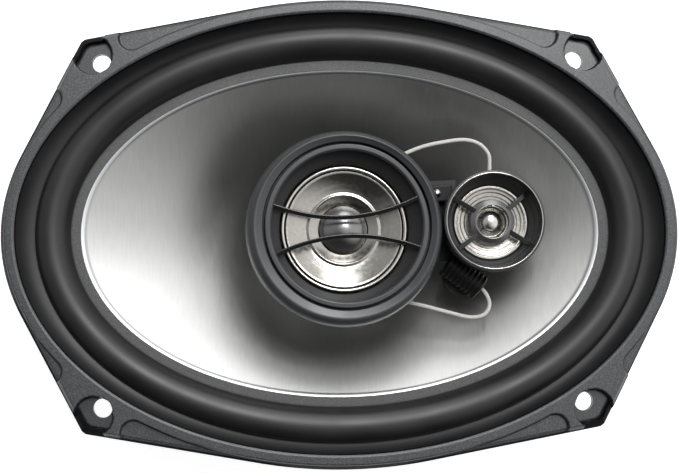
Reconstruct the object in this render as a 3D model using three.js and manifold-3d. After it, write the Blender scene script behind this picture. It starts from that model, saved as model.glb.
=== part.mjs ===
// A three-way coaxial car speaker with an oval cone, lying on its magnet with its front up.
// Millimetres, +Z towards the listener, X along the oval. Z = 0 is the rear face of the back plate.

import * as THREE from 'three';
import { mergeVertices } from 'three/addons/utils/BufferGeometryUtils.js';
import Module from 'manifold-3d';

const wasm = await Module();
wasm.setup();

// ---------------------------------------------------------------- driving sizes

// front outline: an oval with four screw lugs, joined by straight tangent edges
const frontLength = 239;
const frontWidth = 166;
const lugAngle = 45.4;
const lugReach = 12.3;
const lugToHole = { x: 7, y: 8.8 };
const screwHoleRadius = 3.3;
const lugTipRadius = 0.9;

// pressed steel basket
const mountingDepth = 80;
const steelThickness = 1.2;
const seatRadius = 46;
const spiderLedgeRadius = 50;
const spiderLedgeWidth = 6;
const spiderLedgeRise = 14.4;
const basketWallDepth = 10;
const basketShoulderDepth = 14;
const armCount = 8;
const armWidth = 9;
const windowMargin = 1.5;

// moulded trim on the front of the flange
const trimInset = 0.5;
const trimBevelWidth = 1;
const trimRingWidth = 3.8;
const trimFloorHeight = 1.4;
const trimStepHeight = 2.9;
const trimHeight = 4.7;
const lugLipWidth = 1.7;
const sidePocketAngles = [53, 33.1];
const sidePocketRadius = 4.6;
const lugPocketRadius = 6.8;
const lugPocketOffset = { x: 3, y: 2.6 };
const lugPocketAlongLongEdge = 8.5;
const lugPocketAlongShortEdge = 6.6;

// half-roll surround
const lipLand = { x: 6.9, y: 4.1 };
const rollWidth = 12;
const rollHeight = 4.7;
const innerLipWidth = 4;
const rubberThickness = 0.6;

// cone, coil and spider
const coneThickness = 0.8;
const coneDepth = 28.4;
const coneRimDrop = 1.6;
const coneBulge = 1.2;
const coilRadius = 12.5;
const formerThickness = 0.3;
const windingThickness = 0.7;
const windingHeight = 10;
const formerAboveNeck = 1.3;
const dustRingThickness = 1;
const spiderThickness = 0.5;
const spiderWave = 1.2;
const spiderWaves = 3;
const eyeletRadius = 1.5;
const eyeletPlace = { x: 6, y: -22 };

// magnet motor
const backPlateRadius = 41;
const backPlateThickness = 5;
const magnetRadius = 45;
const magnetBore = 22;
const magnetThickness = 17;
const frontPlateRadius = 41;
const frontPlateThickness = 5;
const poleClearance = 0.5;
const poleAbovePlate = 0.8;
const plateClearance = 0.7;
const rivetRadius = 2;
const rivetCircle = 30;
const rivetCount = 4;

// post that carries the small drivers, with its long screw
const postRadius = 6;
const postClearance = 1.2;
const bridgeThickness = 2.5;
const bridgeWidth = 24;
const bridgeRise = 1.3;
const postScrewRadius = 2;
const postScrewHeadRadius = 4;
const postScrewHeadHeight = 2.8;
const nutRadius = 3.8;
const nutHeight = 2.8;
const podTwist = 2.3;
const podGap = 0.7;

// midrange pod; heights count from the top of the bridge
const midBezelRadius = 33.5;
const midBezelWidth = 3.4;
const midBezelSkirt = 1.2;
const midWall = 1.5;
const midHeight = 19.7;
const midBezelHeight = 10.7;
const midBaseRadius = 29;
const midBaseHeight = 8;
const midGrilleWidth = 2.4;
const midGrilleDrop = 0.8;
const midGrilleThickness = 2;
const midBarWidth = 1.3;
const midBarSag = 6.3;
const midBarGap = 6.4;
const midConeRadius = 20;
const midConeDepth = 3.8;
const midConeThickness = 0.4;
const midSurroundWidth = 1.7;
const midCapRadius = 8.2;
const midCapHeight = 3.4;
const midCoilWall = 0.7;
const midYokeRadius = 11;
const midYokeDrop = 10.1;
const midMagnetThickness = 1.5;
const midPlateThickness = 1.6;
const midChassisLip = 0.4;

// tweeter pod; heights count from the top of the bridge
const tweeterRadius = 17.4;
const tweeterRimWidth = 0.7;
const tweeterRimThickness = 0.5;
const tweeterHeight = 17;
const tweeterBaseRadius = 14.5;
const tweeterBaseHeight = 6.5;
const tweeterFloor = 1.5;
const reflectorRadius = 12.8;
const reflectorHeight = 7.6;
const reflectorThickness = 0.5;
const hubInnerRadius = 5.6;
const hubOuterRadius = 7.7;
const hubThickness = 1.2;
const hubHeight = 12.3;
const spokeWidth = 1.3;
const spokeAngles = [36, 146, 216, 326];
const domeRadius = 5.2;
const domeHeight = 2.9;
const domeSurroundWidth = 0.9;
const tweeterCoilWall = 0.4;
const tweeterYokeRadius = 9.5;
const tweeterMagnetThickness = 1.7;
const tweeterPlateThickness = 1.2;
const tweeterScrewRadius = 1.3;
const tweeterScrewOffset = 7.5;
const tweeterScrewHeadRadius = 2.6;
const tweeterScrewHeadHeight = 1.3;

// filter parts and wiring on the bridge
const capacitorRadius = 4.8;
const capacitorLength = 15;
const capacitorAngle = -40;
const solderBlock = { x: 8, y: 6, z: 4.5 };
const solderScrewRadius = 1.4;
const leadRadius = 0.65;
const leadSides = 8;

// terminal strip on the basket
const terminalBlock = { x: 26, y: 3, z: 10 };
const terminalDrop = 2.5;
const terminalSpacing = 14;
const tabThickness = 0.8;
const tabLength = 15;
const tabWidths = [6.3, 4.8];
const terminalRivetRadius = 1.4;
const tinselRadius = 0.8;

// gaps
const glueLine = 0.1;
const fitGap = 0.3;
const runningGap = 0.4;
const weldDistance = 1e-4;

// smoothness
const ovalSteps = 36;
const podSteps = 20;
const smallSteps = 12;
const boltSteps = 8;
const rollSteps = 6;
const coneSteps = 3;
const outlineSteps = 5;
const leadSteps = 18;

// ---------------------------------------------------------------- worked-out sizes

const frontOval = { x: frontLength / 2, y: frontWidth / 2 };
const trimOval = grow(frontOval, -trimInset);
const ringOval = grow(trimOval, -trimBevelWidth);
const trimOpening = grow(ringOval, -trimRingWidth);
const surroundOval = grow(trimOpening, -fitGap);
const rollOuter = { x: trimOpening.x - lipLand.x, y: trimOpening.y - lipLand.y };
const rollInner = grow(rollOuter, -rollWidth);
const coneOval = grow(rollInner, -innerLipWidth);
const basketOpening = grow(rollOuter, 0.5);
const basketWall = grow(basketOpening, steelThickness);
const basketShoulder = grow(basketWall, -1.5);

const magnetBottom = backPlateThickness + glueLine;
const frontPlateBottom = magnetBottom + magnetThickness + glueLine;
const frontPlateTop = frontPlateBottom + frontPlateThickness;
const seatBottom = frontPlateTop + glueLine;
const seatTop = seatBottom + steelThickness;
const spiderLedge = seatTop + spiderLedgeRise;
const flangeRear = mountingDepth;
const flangeFront = flangeRear + steelThickness;
const trimBottom = flangeFront + glueLine;
const shoulderHeight = flangeRear - basketShoulderDepth;
const wallHeight = flangeRear - basketWallDepth;

const formerOuter = coilRadius + formerThickness;
const windingInner = formerOuter + glueLine;
const windingOuter = windingInner + windingThickness;
const poleRadius = coilRadius - poleClearance;
const poleTop = frontPlateTop + poleAbovePlate;
const frontPlateBore = windingOuter + plateClearance;
const seatBore = frontPlateBore + 1.5;
const coneRim = flangeFront - coneRimDrop - coneThickness;
const coneNeck = coneRim - coneDepth;
const neckRadius = formerOuter + fitGap;
const formerBottom = (frontPlateBottom + frontPlateTop - windingHeight) / 2;
const formerTop = coneNeck + formerAboveNeck;

const bridgeBottom = coneRim - bridgeRise;
const bridgeTop = bridgeBottom + bridgeThickness;
const postBottom = poleTop + glueLine;
const postTop = bridgeBottom - glueLine;
const screwClearance = postScrewRadius + runningGap;
const midInner = midBezelRadius - midBezelWidth;
const midYokeTop = midHeight - 11.1;
const midConeRim = midHeight - 6.3;
const midConeNeck = midConeRim - midConeDepth;
const midBaffleInner = midConeRadius + midSurroundWidth + 0.6;
const midCoilOuter = midCapRadius + 0.2;
const midLedge = midHeight - midGrilleDrop - midGrilleThickness - fitGap;
const podSpacing = midBezelRadius + tweeterRadius + podGap;
const capacitorPlace = {
  x: podSpacing - 10,
  y: -Math.sqrt((tweeterBaseRadius + capacitorRadius + 1.2) ** 2 - 10 ** 2),
};
const solderPlace = { x: podSpacing - 16, y: 11.5 };

const speaker = new THREE.Group();
const pods = new THREE.Group();
pods.position.z = bridgeTop;
pods.rotation.z = THREE.MathUtils.degToRad(podTwist);
speaker.add(pods);
const tweeter = new THREE.Group();
tweeter.position.x = podSpacing;
pods.add(tweeter);

// ---------------------------------------------------------------- finishes

function finish(color, roughness, metalness) {
  return { color, roughness, metalness };
}

const blackSteel = finish(0x17181a, 0.5, 0.3);
const trimPlastic = finish(0x2a2c2f, 0.62, 0);
const rubber = finish(0x1a1b1d, 0.55, 0);
const satinSilver = finish(0x8f8f8c, 0.36, 0.85);
const brightSilver = finish(0xc9c7c1, 0.18, 0.95);
const glossBlack = finish(0x1c1d20, 0.35, 0);
const capGrey = finish(0x3d4147, 0.38, 0.2);
const ferrite = finish(0x2b2b2c, 0.75, 0.1);
const zincSteel = finish(0xa9aaa4, 0.42, 0.8);
const copper = finish(0x9c5a2c, 0.4, 0.8);
const kapton = finish(0x7a4a20, 0.5, 0);
const spiderCloth = finish(0xc2a15a, 0.9, 0);
const felt = finish(0x202020, 0.95, 0);
const braid = finish(0xc8c4b4, 0.5, 0.4);
const fibre = finish(0x5a3b22, 0.7, 0);
const brass = finish(0xb08d45, 0.35, 0.9);
const shrinkSleeve = finish(0x0f1012, 0.5, 0);

// ---------------------------------------------------------------- shape helpers

// The oval that lies a distance outside (or, below zero, inside) another.
function grow(oval, distance) {
  return { x: oval.x + distance, y: oval.y + distance };
}

// An oval part way between two others.
function between(from, to, share) {
  return { x: from.x + (to.x - from.x) * share, y: from.y + (to.y - from.y) * share };
}

// The point of an oval at an angle of its parameter, and the outward normal there.
function ovalPoint(oval, degrees) {
  const angle = THREE.MathUtils.degToRad(degrees);
  const point = new THREE.Vector2(oval.x * Math.cos(angle), oval.y * Math.sin(angle));
  const normal = new THREE.Vector2(Math.cos(angle) / oval.x, Math.sin(angle) / oval.y).normalize();
  return { point, normal };
}

// Weld a geometry's corners, drop its empty triangles and hand it over for cutting and joining.
function toSolid(geometry) {
  const bare = geometry.clone();
  bare.deleteAttribute('normal');
  bare.deleteAttribute('uv');
  const welded = mergeVertices(bare, weldDistance);
  const corners = welded.index.array;
  const triangles = [];
  for (let i = 0; i < corners.length; i += 3) {
    const [a, b, c] = [corners[i], corners[i + 1], corners[i + 2]];
    if (a !== b && b !== c && c !== a) {
      triangles.push(a, b, c);
    }
  }
  const points = new Float32Array(welded.attributes.position.array);
  const mesh = new wasm.Mesh({ numProp: 3, vertProperties: points, triVerts: new Uint32Array(triangles) });
  return new wasm.Manifold(mesh);
}

// Add a finished solid to a group as a named mesh.
function addPiece(group, name, solid, look) {
  const { vertProperties, triVerts } = solid.getMesh();
  const geometry = new THREE.BufferGeometry();
  geometry.setAttribute('position', new THREE.BufferAttribute(new Float32Array(vertProperties), 3));
  geometry.setIndex(new THREE.BufferAttribute(new Uint32Array(triVerts), 1));
  geometry.computeVertexNormals();
  const mesh = new THREE.Mesh(geometry, new THREE.MeshStandardMaterial(look));
  mesh.name = name;
  group.add(mesh);
}

// Turn a profile of [radius, height] pairs about Z. The outside of the profile runs upwards.
function turned(profile, steps = podSteps) {
  const onAxis = profile[0][0] === 0;
  const points = profile.map(([radius, height]) => new THREE.Vector2(radius, height));
  if (!onAxis) {
    points.push(points[0].clone());
  }
  const geometry = new THREE.LatheGeometry(points, steps);
  geometry.rotateX(Math.PI / 2);
  return toSolid(geometry);
}

// The same for a profile of [oval, height] pairs: each ring of the turned body becomes an oval.
function turnedOval(profile) {
  const closed = [...profile, profile[0]];
  const points = closed.map(([oval, height]) => new THREE.Vector2(oval.x, height));
  const geometry = new THREE.LatheGeometry(points, ovalSteps);
  geometry.rotateX(Math.PI / 2);
  const position = geometry.attributes.position;
  for (let i = 0; i < position.count; i += 1) {
    const [oval] = closed[i % closed.length];
    position.setY(i, position.getY(i) * oval.y / oval.x);
  }
  return toSolid(geometry);
}

// A flat shape of straight-sided points, from one height to another.
function plate(points, bottom, top) {
  const geometry = new THREE.ExtrudeGeometry(new THREE.Shape(points), {
    depth: top - bottom,
    bevelEnabled: false,
  });
  geometry.translate(0, 0, bottom);
  return toSolid(geometry);
}

function ovalPlate(oval, bottom, top, steps = ovalSteps) {
  const points = [];
  for (let i = 0; i < steps; i += 1) {
    points.push(ovalPoint(oval, i * 360 / steps).point);
  }
  return plate(points, bottom, top);
}

function disc(x, y, radius, bottom, top, steps = boltSteps) {
  const geometry = new THREE.CylinderGeometry(radius, radius, top - bottom, steps);
  geometry.rotateX(Math.PI / 2);
  geometry.translate(x, y, (bottom + top) / 2);
  return toSolid(geometry);
}

function box(size, x, y, bottom) {
  const geometry = new THREE.BoxGeometry(size.x, size.y, size.z);
  geometry.translate(x, y, bottom + size.z / 2);
  return toSolid(geometry);
}

// A round cord along hand-chosen points.
function cord(points, radius) {
  const section = new THREE.Shape();
  section.absarc(0, 0, radius, 0, Math.PI * 2);
  const path = new THREE.CatmullRomCurve3(points.map(([x, y, z]) => new THREE.Vector3(x, y, z)));
  const geometry = new THREE.ExtrudeGeometry(section, {
    steps: leadSteps,
    curveSegments: leadSides / 2,
    extrudePath: path,
  });
  return toSolid(geometry);
}

function joined(solids) {
  return solids.reduce((whole, next) => whole.add(next));
}

function cut(solid, tools) {
  return tools.reduce((rest, tool) => rest.subtract(tool), solid);
}

// ---------------------------------------------------------------- front outline

// Signs of the four quarters, anticlockwise from the first.
const quarters = [[1, 1], [-1, 1], [-1, -1], [1, -1]];

// The corner that the two straight edges of a lug would meet at, in the first quarter.
function lugCorner(inset = 0) {
  const { point, normal } = ovalPoint(frontOval, lugAngle);
  return point.addScaledVector(normal, lugReach - inset * 1.25);
}

// Angles of the two points of an oval whose tangents pass through a point outside it.
function tangentAngles(oval, point) {
  const scaled = new THREE.Vector2(point.x / oval.x, point.y / oval.y);
  const middle = THREE.MathUtils.radToDeg(Math.atan2(scaled.y, scaled.x));
  const spread = THREE.MathUtils.radToDeg(Math.acos(Math.min(1, 1 / scaled.length())));
  return [middle - spread, middle + spread];
}

// One quarter of the outline: oval, straight edge, blunt tip, straight edge, oval.
function quarterOutline(inset) {
  const oval = grow(frontOval, -inset);
  const corner = lugCorner(inset);
  const [low, high] = tangentAngles(oval, corner);
  const shortEdge = ovalPoint(oval, low).point.sub(corner).normalize();
  const longEdge = ovalPoint(oval, high).point.sub(corner).normalize();
  const points = [];
  for (let i = 0; i <= outlineSteps; i += 1) {
    points.push(ovalPoint(oval, low * i / outlineSteps).point);
  }
  points.push(corner.clone().addScaledVector(shortEdge, lugTipRadius));
  points.push(corner.clone().addScaledVector(longEdge, lugTipRadius));
  for (let i = 0; i <= outlineSteps; i += 1) {
    points.push(ovalPoint(oval, high + (90 - high) * i / outlineSteps).point);
  }
  return points;
}

function outline(inset) {
  const quarter = quarterOutline(inset);
  const points = [];
  for (const [sx, sy] of quarters) {
    const turnedQuarter = quarter.map((p) => new THREE.Vector2(p.x * sx, p.y * sy));
    if (sx * sy < 0) {
      turnedQuarter.reverse();
    }
    points.push(...turnedQuarter);
  }
  return points.filter((p, i) => p.distanceTo(points[(i + 1) % points.length]) > weldDistance);
}

function screwHoles(bottom, top) {
  const corner = lugCorner();
  const x = corner.x - lugToHole.x;
  const y = corner.y - lugToHole.y;
  return quarters.map(([sx, sy]) => disc(sx * x, sy * y, screwHoleRadius, bottom, top, smallSteps));
}

// ---------------------------------------------------------------- basket and trim

// What is cut from the basket's slope: a level slab with the arms left out of it.
function basketWindows() {
  const low = spiderLedge + steelThickness + windowMargin;
  const high = shoulderHeight - windowMargin;
  const reach = frontLength;
  const slab = disc(0, 0, reach, low, high, armCount);
  const arms = [];
  for (let i = 0; i < armCount; i += 1) {
    const { point } = ovalPoint(basketShoulder, i * 360 / armCount);
    const geometry = new THREE.BoxGeometry(2 * reach, armWidth, high - low + 2);
    geometry.translate(reach, 0, (low + high) / 2);
    geometry.rotateZ(Math.atan2(point.y, point.x));
    arms.push(toSolid(geometry));
  }
  return cut(slab, arms);
}

function rivetPlaces() {
  const places = [];
  for (let i = 0; i < rivetCount; i += 1) {
    const angle = (i + 0.5) * 2 * Math.PI / rivetCount;
    places.push([rivetCircle * Math.cos(angle), rivetCircle * Math.sin(angle)]);
  }
  return places;
}

// The terminal strip's own place: on the side of the basket, below the spider ledge.
const terminalFace = -(spiderLedgeRadius + fitGap);
const terminalTop = spiderLedge - terminalDrop;

function terminalRivet(x, radius, inner, outer) {
  const geometry = new THREE.CylinderGeometry(radius, radius, inner - outer, boltSteps);
  geometry.translate(x, (inner + outer) / 2, terminalTop - terminalBlock.z / 2);
  return toSolid(geometry);
}

const terminalRivetXs = [-0.5, 0.5].map((share) => share * (terminalBlock.x - 6));
const terminalRivetInner = -seatRadius + 1.5;
const terminalRivetOuter = terminalFace - terminalBlock.y - 1;

function addBasket() {
  const round = (radius) => ({ x: radius, y: radius });
  const t = steelThickness;
  const ledgeEdge = spiderLedgeRadius + spiderLedgeWidth;
  const shell = turnedOval([
    [round(seatBore), seatBottom],
    [round(seatRadius), seatBottom],
    [round(spiderLedgeRadius), spiderLedge],
    [round(ledgeEdge), spiderLedge],
    [basketShoulder, shoulderHeight],
    [basketWall, wallHeight],
    [basketWall, flangeFront],
    [basketOpening, flangeFront],
    [basketOpening, wallHeight],
    [grow(basketShoulder, -t), shoulderHeight + t],
    [round(ledgeEdge - t / 2), spiderLedge + t],
    [round(spiderLedgeRadius - t), spiderLedge + t],
    [round(seatRadius - t), seatTop],
    [round(seatBore), seatTop],
  ]);
  const flange = plate(outline(0), flangeRear, flangeFront)
    .subtract(ovalPlate(grow(basketOpening, steelThickness / 2), flangeRear - 1, flangeFront + 1));
  const tools = screwHoles(flangeRear - 1, flangeFront + 1);
  tools.push(basketWindows());
  for (const [x, y] of rivetPlaces()) {
    tools.push(disc(x, y, rivetRadius + fitGap, seatBottom - 1, seatTop + 1));
  }
  for (const x of terminalRivetXs) {
    tools.push(terminalRivet(x, terminalRivetRadius + fitGap, terminalRivetInner + 5, terminalFace));
  }
  addPiece(speaker, 'basket', cut(shell.add(flange), tools), blackSteel);
}

// One side pocket, in the first quarter: outside the ring, from a round end near the lug onwards.
function sidePocket(degrees, towardsShortSide, bottom, top) {
  const { point, normal } = ovalPoint(ringOval, degrees);
  const centre = point.clone().addScaledVector(normal, sidePocketRadius);
  const along = new THREE.Vector2(normal.y, -normal.x).multiplyScalar(towardsShortSide ? 1 : -1);
  const far = frontLength;
  const field = plate([
    point.clone().addScaledVector(normal, -far),
    point.clone().addScaledVector(normal, far),
    point.clone().addScaledVector(normal, far).addScaledVector(along, far),
    point.clone().addScaledVector(normal, -far).addScaledVector(along, far),
  ], bottom, top);
  const quadrant = plate([
    new THREE.Vector2(0, 0),
    new THREE.Vector2(far, 0),
    new THREE.Vector2(far, far),
    new THREE.Vector2(0, far),
  ], bottom, top);
  return field
    .intersect(quadrant)
    .subtract(ovalPlate(ringOval, bottom - 1, top + 1))
    .add(disc(centre.x, centre.y, sidePocketRadius, bottom, top, smallSteps));
}

// The pocket round a screw hole, in the first quarter: round inside, open towards the corner.
function lugPocket(bottom, top) {
  const corner = lugCorner();
  const [low, high] = tangentAngles(frontOval, corner);
  const shortEdge = ovalPoint(frontOval, low).point.sub(corner).normalize();
  const longEdge = ovalPoint(frontOval, high).point.sub(corner).normalize();
  const centre = new THREE.Vector2(
    corner.x - lugToHole.x + lugPocketOffset.x, corner.y - lugToHole.y + lugPocketOffset.y);
  const mouth = plate([
    centre,
    corner.clone().addScaledVector(shortEdge, lugPocketAlongShortEdge),
    corner.clone().addScaledVector(corner.clone().normalize(), 2),
    corner.clone().addScaledVector(longEdge, lugPocketAlongLongEdge),
  ], bottom, top);
  return mouth.add(disc(centre.x, centre.y, lugPocketRadius, bottom, top, smallSteps));
}

// A first-quarter cutter, in all four quarters.
function inAllQuarters(solid) {
  const upper = solid.add(solid.mirror([1, 0, 0]));
  return upper.add(upper.mirror([0, 1, 0]));
}

function addTrim() {
  const floor = trimBottom + trimFloorHeight;
  const step = trimBottom + trimStepHeight;
  const top = trimBottom + trimHeight;
  const sides = sidePocket(sidePocketAngles[0], false, step, top + 1)
    .add(sidePocket(sidePocketAngles[1], true, step, top + 1));
  const insideLip = plate(outline(trimInset + lugLipWidth), floor, top + 1);
  const lugFloor = lugPocket(floor, top + 1).intersect(insideLip);
  const lugLip = lugPocket(step, top + 1);
  const body = plate(outline(trimInset), trimBottom, top);
  const tools = [
    ovalPlate(trimOpening, trimBottom - 1, top + 1),
    inAllQuarters(sides.add(lugFloor).add(lugLip)),
    ...screwHoles(trimBottom - 1, top + 1),
  ];
  addPiece(speaker, 'trim_ring', cut(body, tools), trimPlastic);
}

// ---------------------------------------------------------------- main motor

function addMotor() {
  const yoke = turned([
    [screwClearance, 0],
    [backPlateRadius, 0],
    [backPlateRadius, backPlateThickness],
    [poleRadius, backPlateThickness],
    [poleRadius, poleTop],
    [screwClearance, poleTop],
  ]);
  const pocketRadius = postScrewHeadRadius + runningGap;
  const headPocket = disc(0, 0, pocketRadius, -1, postScrewHeadHeight + 2 * runningGap, smallSteps);
  addPiece(speaker, 'back_plate_and_pole', yoke.subtract(headPocket), zincSteel);
  addPiece(speaker, 'magnet', turned([
    [magnetBore, magnetBottom],
    [magnetRadius, magnetBottom],
    [magnetRadius, magnetBottom + magnetThickness],
    [magnetBore, magnetBottom + magnetThickness],
  ]), ferrite);
  const plateHoles = rivetPlaces().map(([x, y]) => (
    disc(x, y, rivetRadius + fitGap, frontPlateBottom - 1, frontPlateTop + 1)));
  addPiece(speaker, 'front_plate', cut(turned([
    [frontPlateBore, frontPlateBottom],
    [frontPlateRadius, frontPlateBottom],
    [frontPlateRadius, frontPlateTop],
    [frontPlateBore, frontPlateTop],
  ]), plateHoles), zincSteel);
  rivetPlaces().forEach(([x, y], i) => {
    const shank = disc(x, y, rivetRadius, frontPlateBottom + fitGap, seatTop + 1);
    const head = disc(x, y, rivetRadius + 1.5, seatTop + glueLine, seatTop + 1.6);
    addPiece(speaker, `basket_rivet_${i + 1}`, shank.add(head), zincSteel);
  });
}

// ---------------------------------------------------------------- cone, surround, spider

// The cone's front or rear surface: rings from neck to rim, a little bulged.
function coneRings(lift) {
  const rings = [];
  for (let i = 0; i <= coneSteps; i += 1) {
    const share = i / coneSteps;
    const rise = coneDepth * share + coneBulge * 4 * share * (1 - share);
    rings.push([between({ x: neckRadius, y: neckRadius }, coneOval, share), coneNeck + rise + lift]);
  }
  return rings;
}

function addCone() {
  const rimEdge = grow(coneOval, innerLipWidth - fitGap);
  const shell = turnedOval([
    ...coneRings(0),
    [rimEdge, coneRim],
    [rimEdge, coneRim + coneThickness],
    ...coneRings(coneThickness).reverse(),
  ]);
  const { x, y } = eyeletPlace;
  const holes = [-1, 1].map((side) => disc(side * x, y, eyeletRadius + fitGap, coneNeck, coneRim));
  addPiece(speaker, 'cone', cut(shell, holes), satinSilver);
  [-1, 1].forEach((side, i) => {
    const middle = eyeletHeight();
    const eyelet = disc(side * x, y, eyeletRadius, middle - 1.5, middle + 1.5);
    addPiece(speaker, `cone_eyelet_${i + 1}`, eyelet, brass);
  });
}

// Height of the middle of the cone's wall at the eyelets, which sit near the short axis.
function eyeletHeight() {
  const share = (Math.abs(eyeletPlace.y) - neckRadius) / (coneOval.y - neckRadius);
  return coneNeck + coneDepth * share + coneBulge * 4 * share * (1 - share) + coneThickness / 2;
}

function addCoil() {
  addPiece(speaker, 'voice_coil_former', turned([
    [coilRadius, formerBottom],
    [formerOuter, formerBottom],
    [formerOuter, formerTop],
    [coilRadius, formerTop],
  ]), kapton);
  addPiece(speaker, 'voice_coil_winding', turned([
    [windingInner, formerBottom],
    [windingOuter, formerBottom],
    [windingOuter, formerBottom + windingHeight],
    [windingInner, formerBottom + windingHeight],
  ]), copper);
  addPiece(speaker, 'dust_ring', turned([
    [postRadius + postClearance, formerTop + glueLine],
    [formerOuter, formerTop + glueLine],
    [formerOuter, formerTop + glueLine + dustRingThickness],
    [postRadius + postClearance, formerTop + glueLine + dustRingThickness],
  ]), felt);
}

// The roll's rings from the inner to the outer edge, over an arch.
function rollRings(lowInner, lowOuter) {
  const rings = [];
  for (let i = 0; i <= rollSteps; i += 1) {
    const angle = Math.PI * i / rollSteps;
    const share = (1 - Math.cos(angle)) / 2;
    const base = lowInner + (lowOuter - lowInner) * share;
    rings.push([between(rollInner, rollOuter, share), base + rollHeight * Math.sin(angle)]);
  }
  return rings;
}

function addSurround() {
  const innerBottom = coneRim + coneThickness + glueLine;
  const outerBottom = flangeFront + glueLine;
  const t = rubberThickness;
  const innerEdge = grow(coneOval, fitGap);
  addPiece(speaker, 'surround', turnedOval([
    [innerEdge, innerBottom],
    ...rollRings(innerBottom, outerBottom),
    [surroundOval, outerBottom],
    [surroundOval, outerBottom + t],
    ...rollRings(innerBottom + t, outerBottom + t).reverse(),
    [innerEdge, innerBottom + t],
  ]), rubber);
}

function addSpider() {
  const inner = formerOuter + fitGap;
  const outer = spiderLedgeRadius + spiderLedgeWidth - steelThickness - 1;
  const landing = spiderLedgeRadius;
  const low = spiderLedge + steelThickness + glueLine;
  const wave = (lift) => {
    const points = [[inner, low + lift]];
    for (let i = 0; i <= 2 * spiderWaves; i += 1) {
      const radius = inner + 3 + (landing - inner - 6) * i / (2 * spiderWaves);
      points.push([radius, low + lift + (i % 2) * spiderWave]);
    }
    points.push([landing, low + lift]);
    points.push([outer, low + lift]);
    return points;
  };
  addPiece(speaker, 'spider', turned([...wave(0), ...wave(spiderThickness).reverse()]), spiderCloth);
}

// ---------------------------------------------------------------- post and bridge

function addPost() {
  addPiece(speaker, 'support_post', turned([
    [screwClearance, postBottom],
    [postRadius, postBottom],
    [postRadius, postTop],
    [screwClearance, postTop],
  ], smallSteps), zincSteel);
  const headBottom = runningGap;
  const screw = disc(0, 0, postScrewRadius, headBottom, bridgeTop + nutHeight + fitGap);
  const head = disc(0, 0, postScrewHeadRadius, headBottom, headBottom + postScrewHeadHeight, smallSteps);
  addPiece(speaker, 'post_screw', screw.add(head), zincSteel);
}

function tweeterScrewHole(x, side, bottom, top) {
  return disc(x, side * tweeterScrewOffset, tweeterScrewRadius + fitGap, bottom, top);
}

// A plate under both pods, with lobes for the filter parts. Its top is the pods' zero height.
function addBridge() {
  const low = -bridgeThickness;
  const solderLobe = { x: solderBlock.x + 4, y: solderBlock.y + 4, z: bridgeThickness };
  const body = joined([
    disc(0, 0, midBaseRadius - 5, low, 0, podSteps),
    disc(podSpacing, 0, tweeterBaseRadius, low, 0, podSteps),
    box({ x: podSpacing, y: bridgeWidth, z: bridgeThickness }, podSpacing / 2, 0, low),
    disc(capacitorPlace.x, capacitorPlace.y, capacitorRadius + 2, low, 0, smallSteps),
    box(solderLobe, solderPlace.x, solderPlace.y, low),
  ]);
  const tools = [
    disc(0, 0, screwClearance, low - 1, 1),
    ...[-1, 1].map((side) => tweeterScrewHole(podSpacing, side, low - 1, 1)),
  ];
  addPiece(pods, 'bridge', cut(body, tools), glossBlack);
  const nut = disc(0, 0, nutRadius, fitGap, nutHeight, 6)
    .subtract(disc(0, 0, screwClearance, fitGap - 1, nutHeight + 1));
  addPiece(pods, 'post_nut', nut, zincSteel);
}

// ---------------------------------------------------------------- midrange pod

function addMidHousing() {
  const floor = fitGap + 2;
  const hole = nutRadius + 1.7;
  const neckIn = midBaseRadius - midWall;
  const skirtIn = midBezelRadius - midBezelSkirt - fitGap;
  const flareTop = midBaseHeight + 3;
  const top = midBezelHeight + 3.3;
  addPiece(pods, 'mid_housing', turned([
    [hole, fitGap],
    [midBaseRadius, fitGap],
    [midBaseRadius, midBaseHeight],
    [skirtIn, flareTop],
    [skirtIn, top],
    [skirtIn - midWall, top],
    [skirtIn - midWall, flareTop],
    [neckIn, midBaseHeight],
    [neckIn, floor],
    [midYokeRadius + 0.5, floor],
    [midYokeRadius + 0.5, midYokeBottom() - fitGap],
    [hole, midYokeBottom() - fitGap],
  ]), glossBlack);
  addPiece(pods, 'mid_bezel', turned([
    [skirtIn + fitGap, midBezelHeight - 1.7],
    [midBezelRadius, midBezelHeight - 1.7],
    [midBezelRadius, midHeight - 3],
    [midBezelRadius - 0.9, midHeight - 0.8],
    [midBezelRadius - 2.3, midHeight],
    [midInner, midHeight - 0.4],
    [midInner, top + fitGap],
    [skirtIn + fitGap, top + fitGap],
  ]), glossBlack);
}

function midYokeBottom() {
  return midYokeTop - midPlateThickness - midMagnetThickness - 2 - 0.2;
}

function addMidMotor() {
  const bottom = midYokeBottom();
  const floorTop = bottom + 1.5;
  const coilInner = midCoilOuter - midCoilWall;
  const poleRim = coilInner - runningGap;
  addPiece(pods, 'mid_yoke', turned([
    [0, bottom],
    [midYokeRadius, bottom],
    [midYokeRadius, midYokeTop],
    [midCoilOuter + 0.6, midYokeTop],
    [midCoilOuter + 0.6, floorTop],
    [0, floorTop],
  ], smallSteps), zincSteel);
  const magnetLow = floorTop + 0.2;
  const magnetTop = magnetLow + midMagnetThickness;
  addPiece(pods, 'mid_magnet', disc(0, 0, poleRim - 0.3, magnetLow, magnetTop, smallSteps), ferrite);
  addPiece(pods, 'mid_top_plate',
    disc(0, 0, poleRim, midYokeTop - midPlateThickness, midYokeTop, smallSteps), zincSteel);
  addPiece(pods, 'mid_coil', turned([
    [coilInner, floorTop + 1],
    [midCoilOuter, floorTop + 1],
    [midCoilOuter, midConeNeck - 0.2],
    [coilInner, midConeNeck - 0.2],
  ], smallSteps), copper);
}

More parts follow.
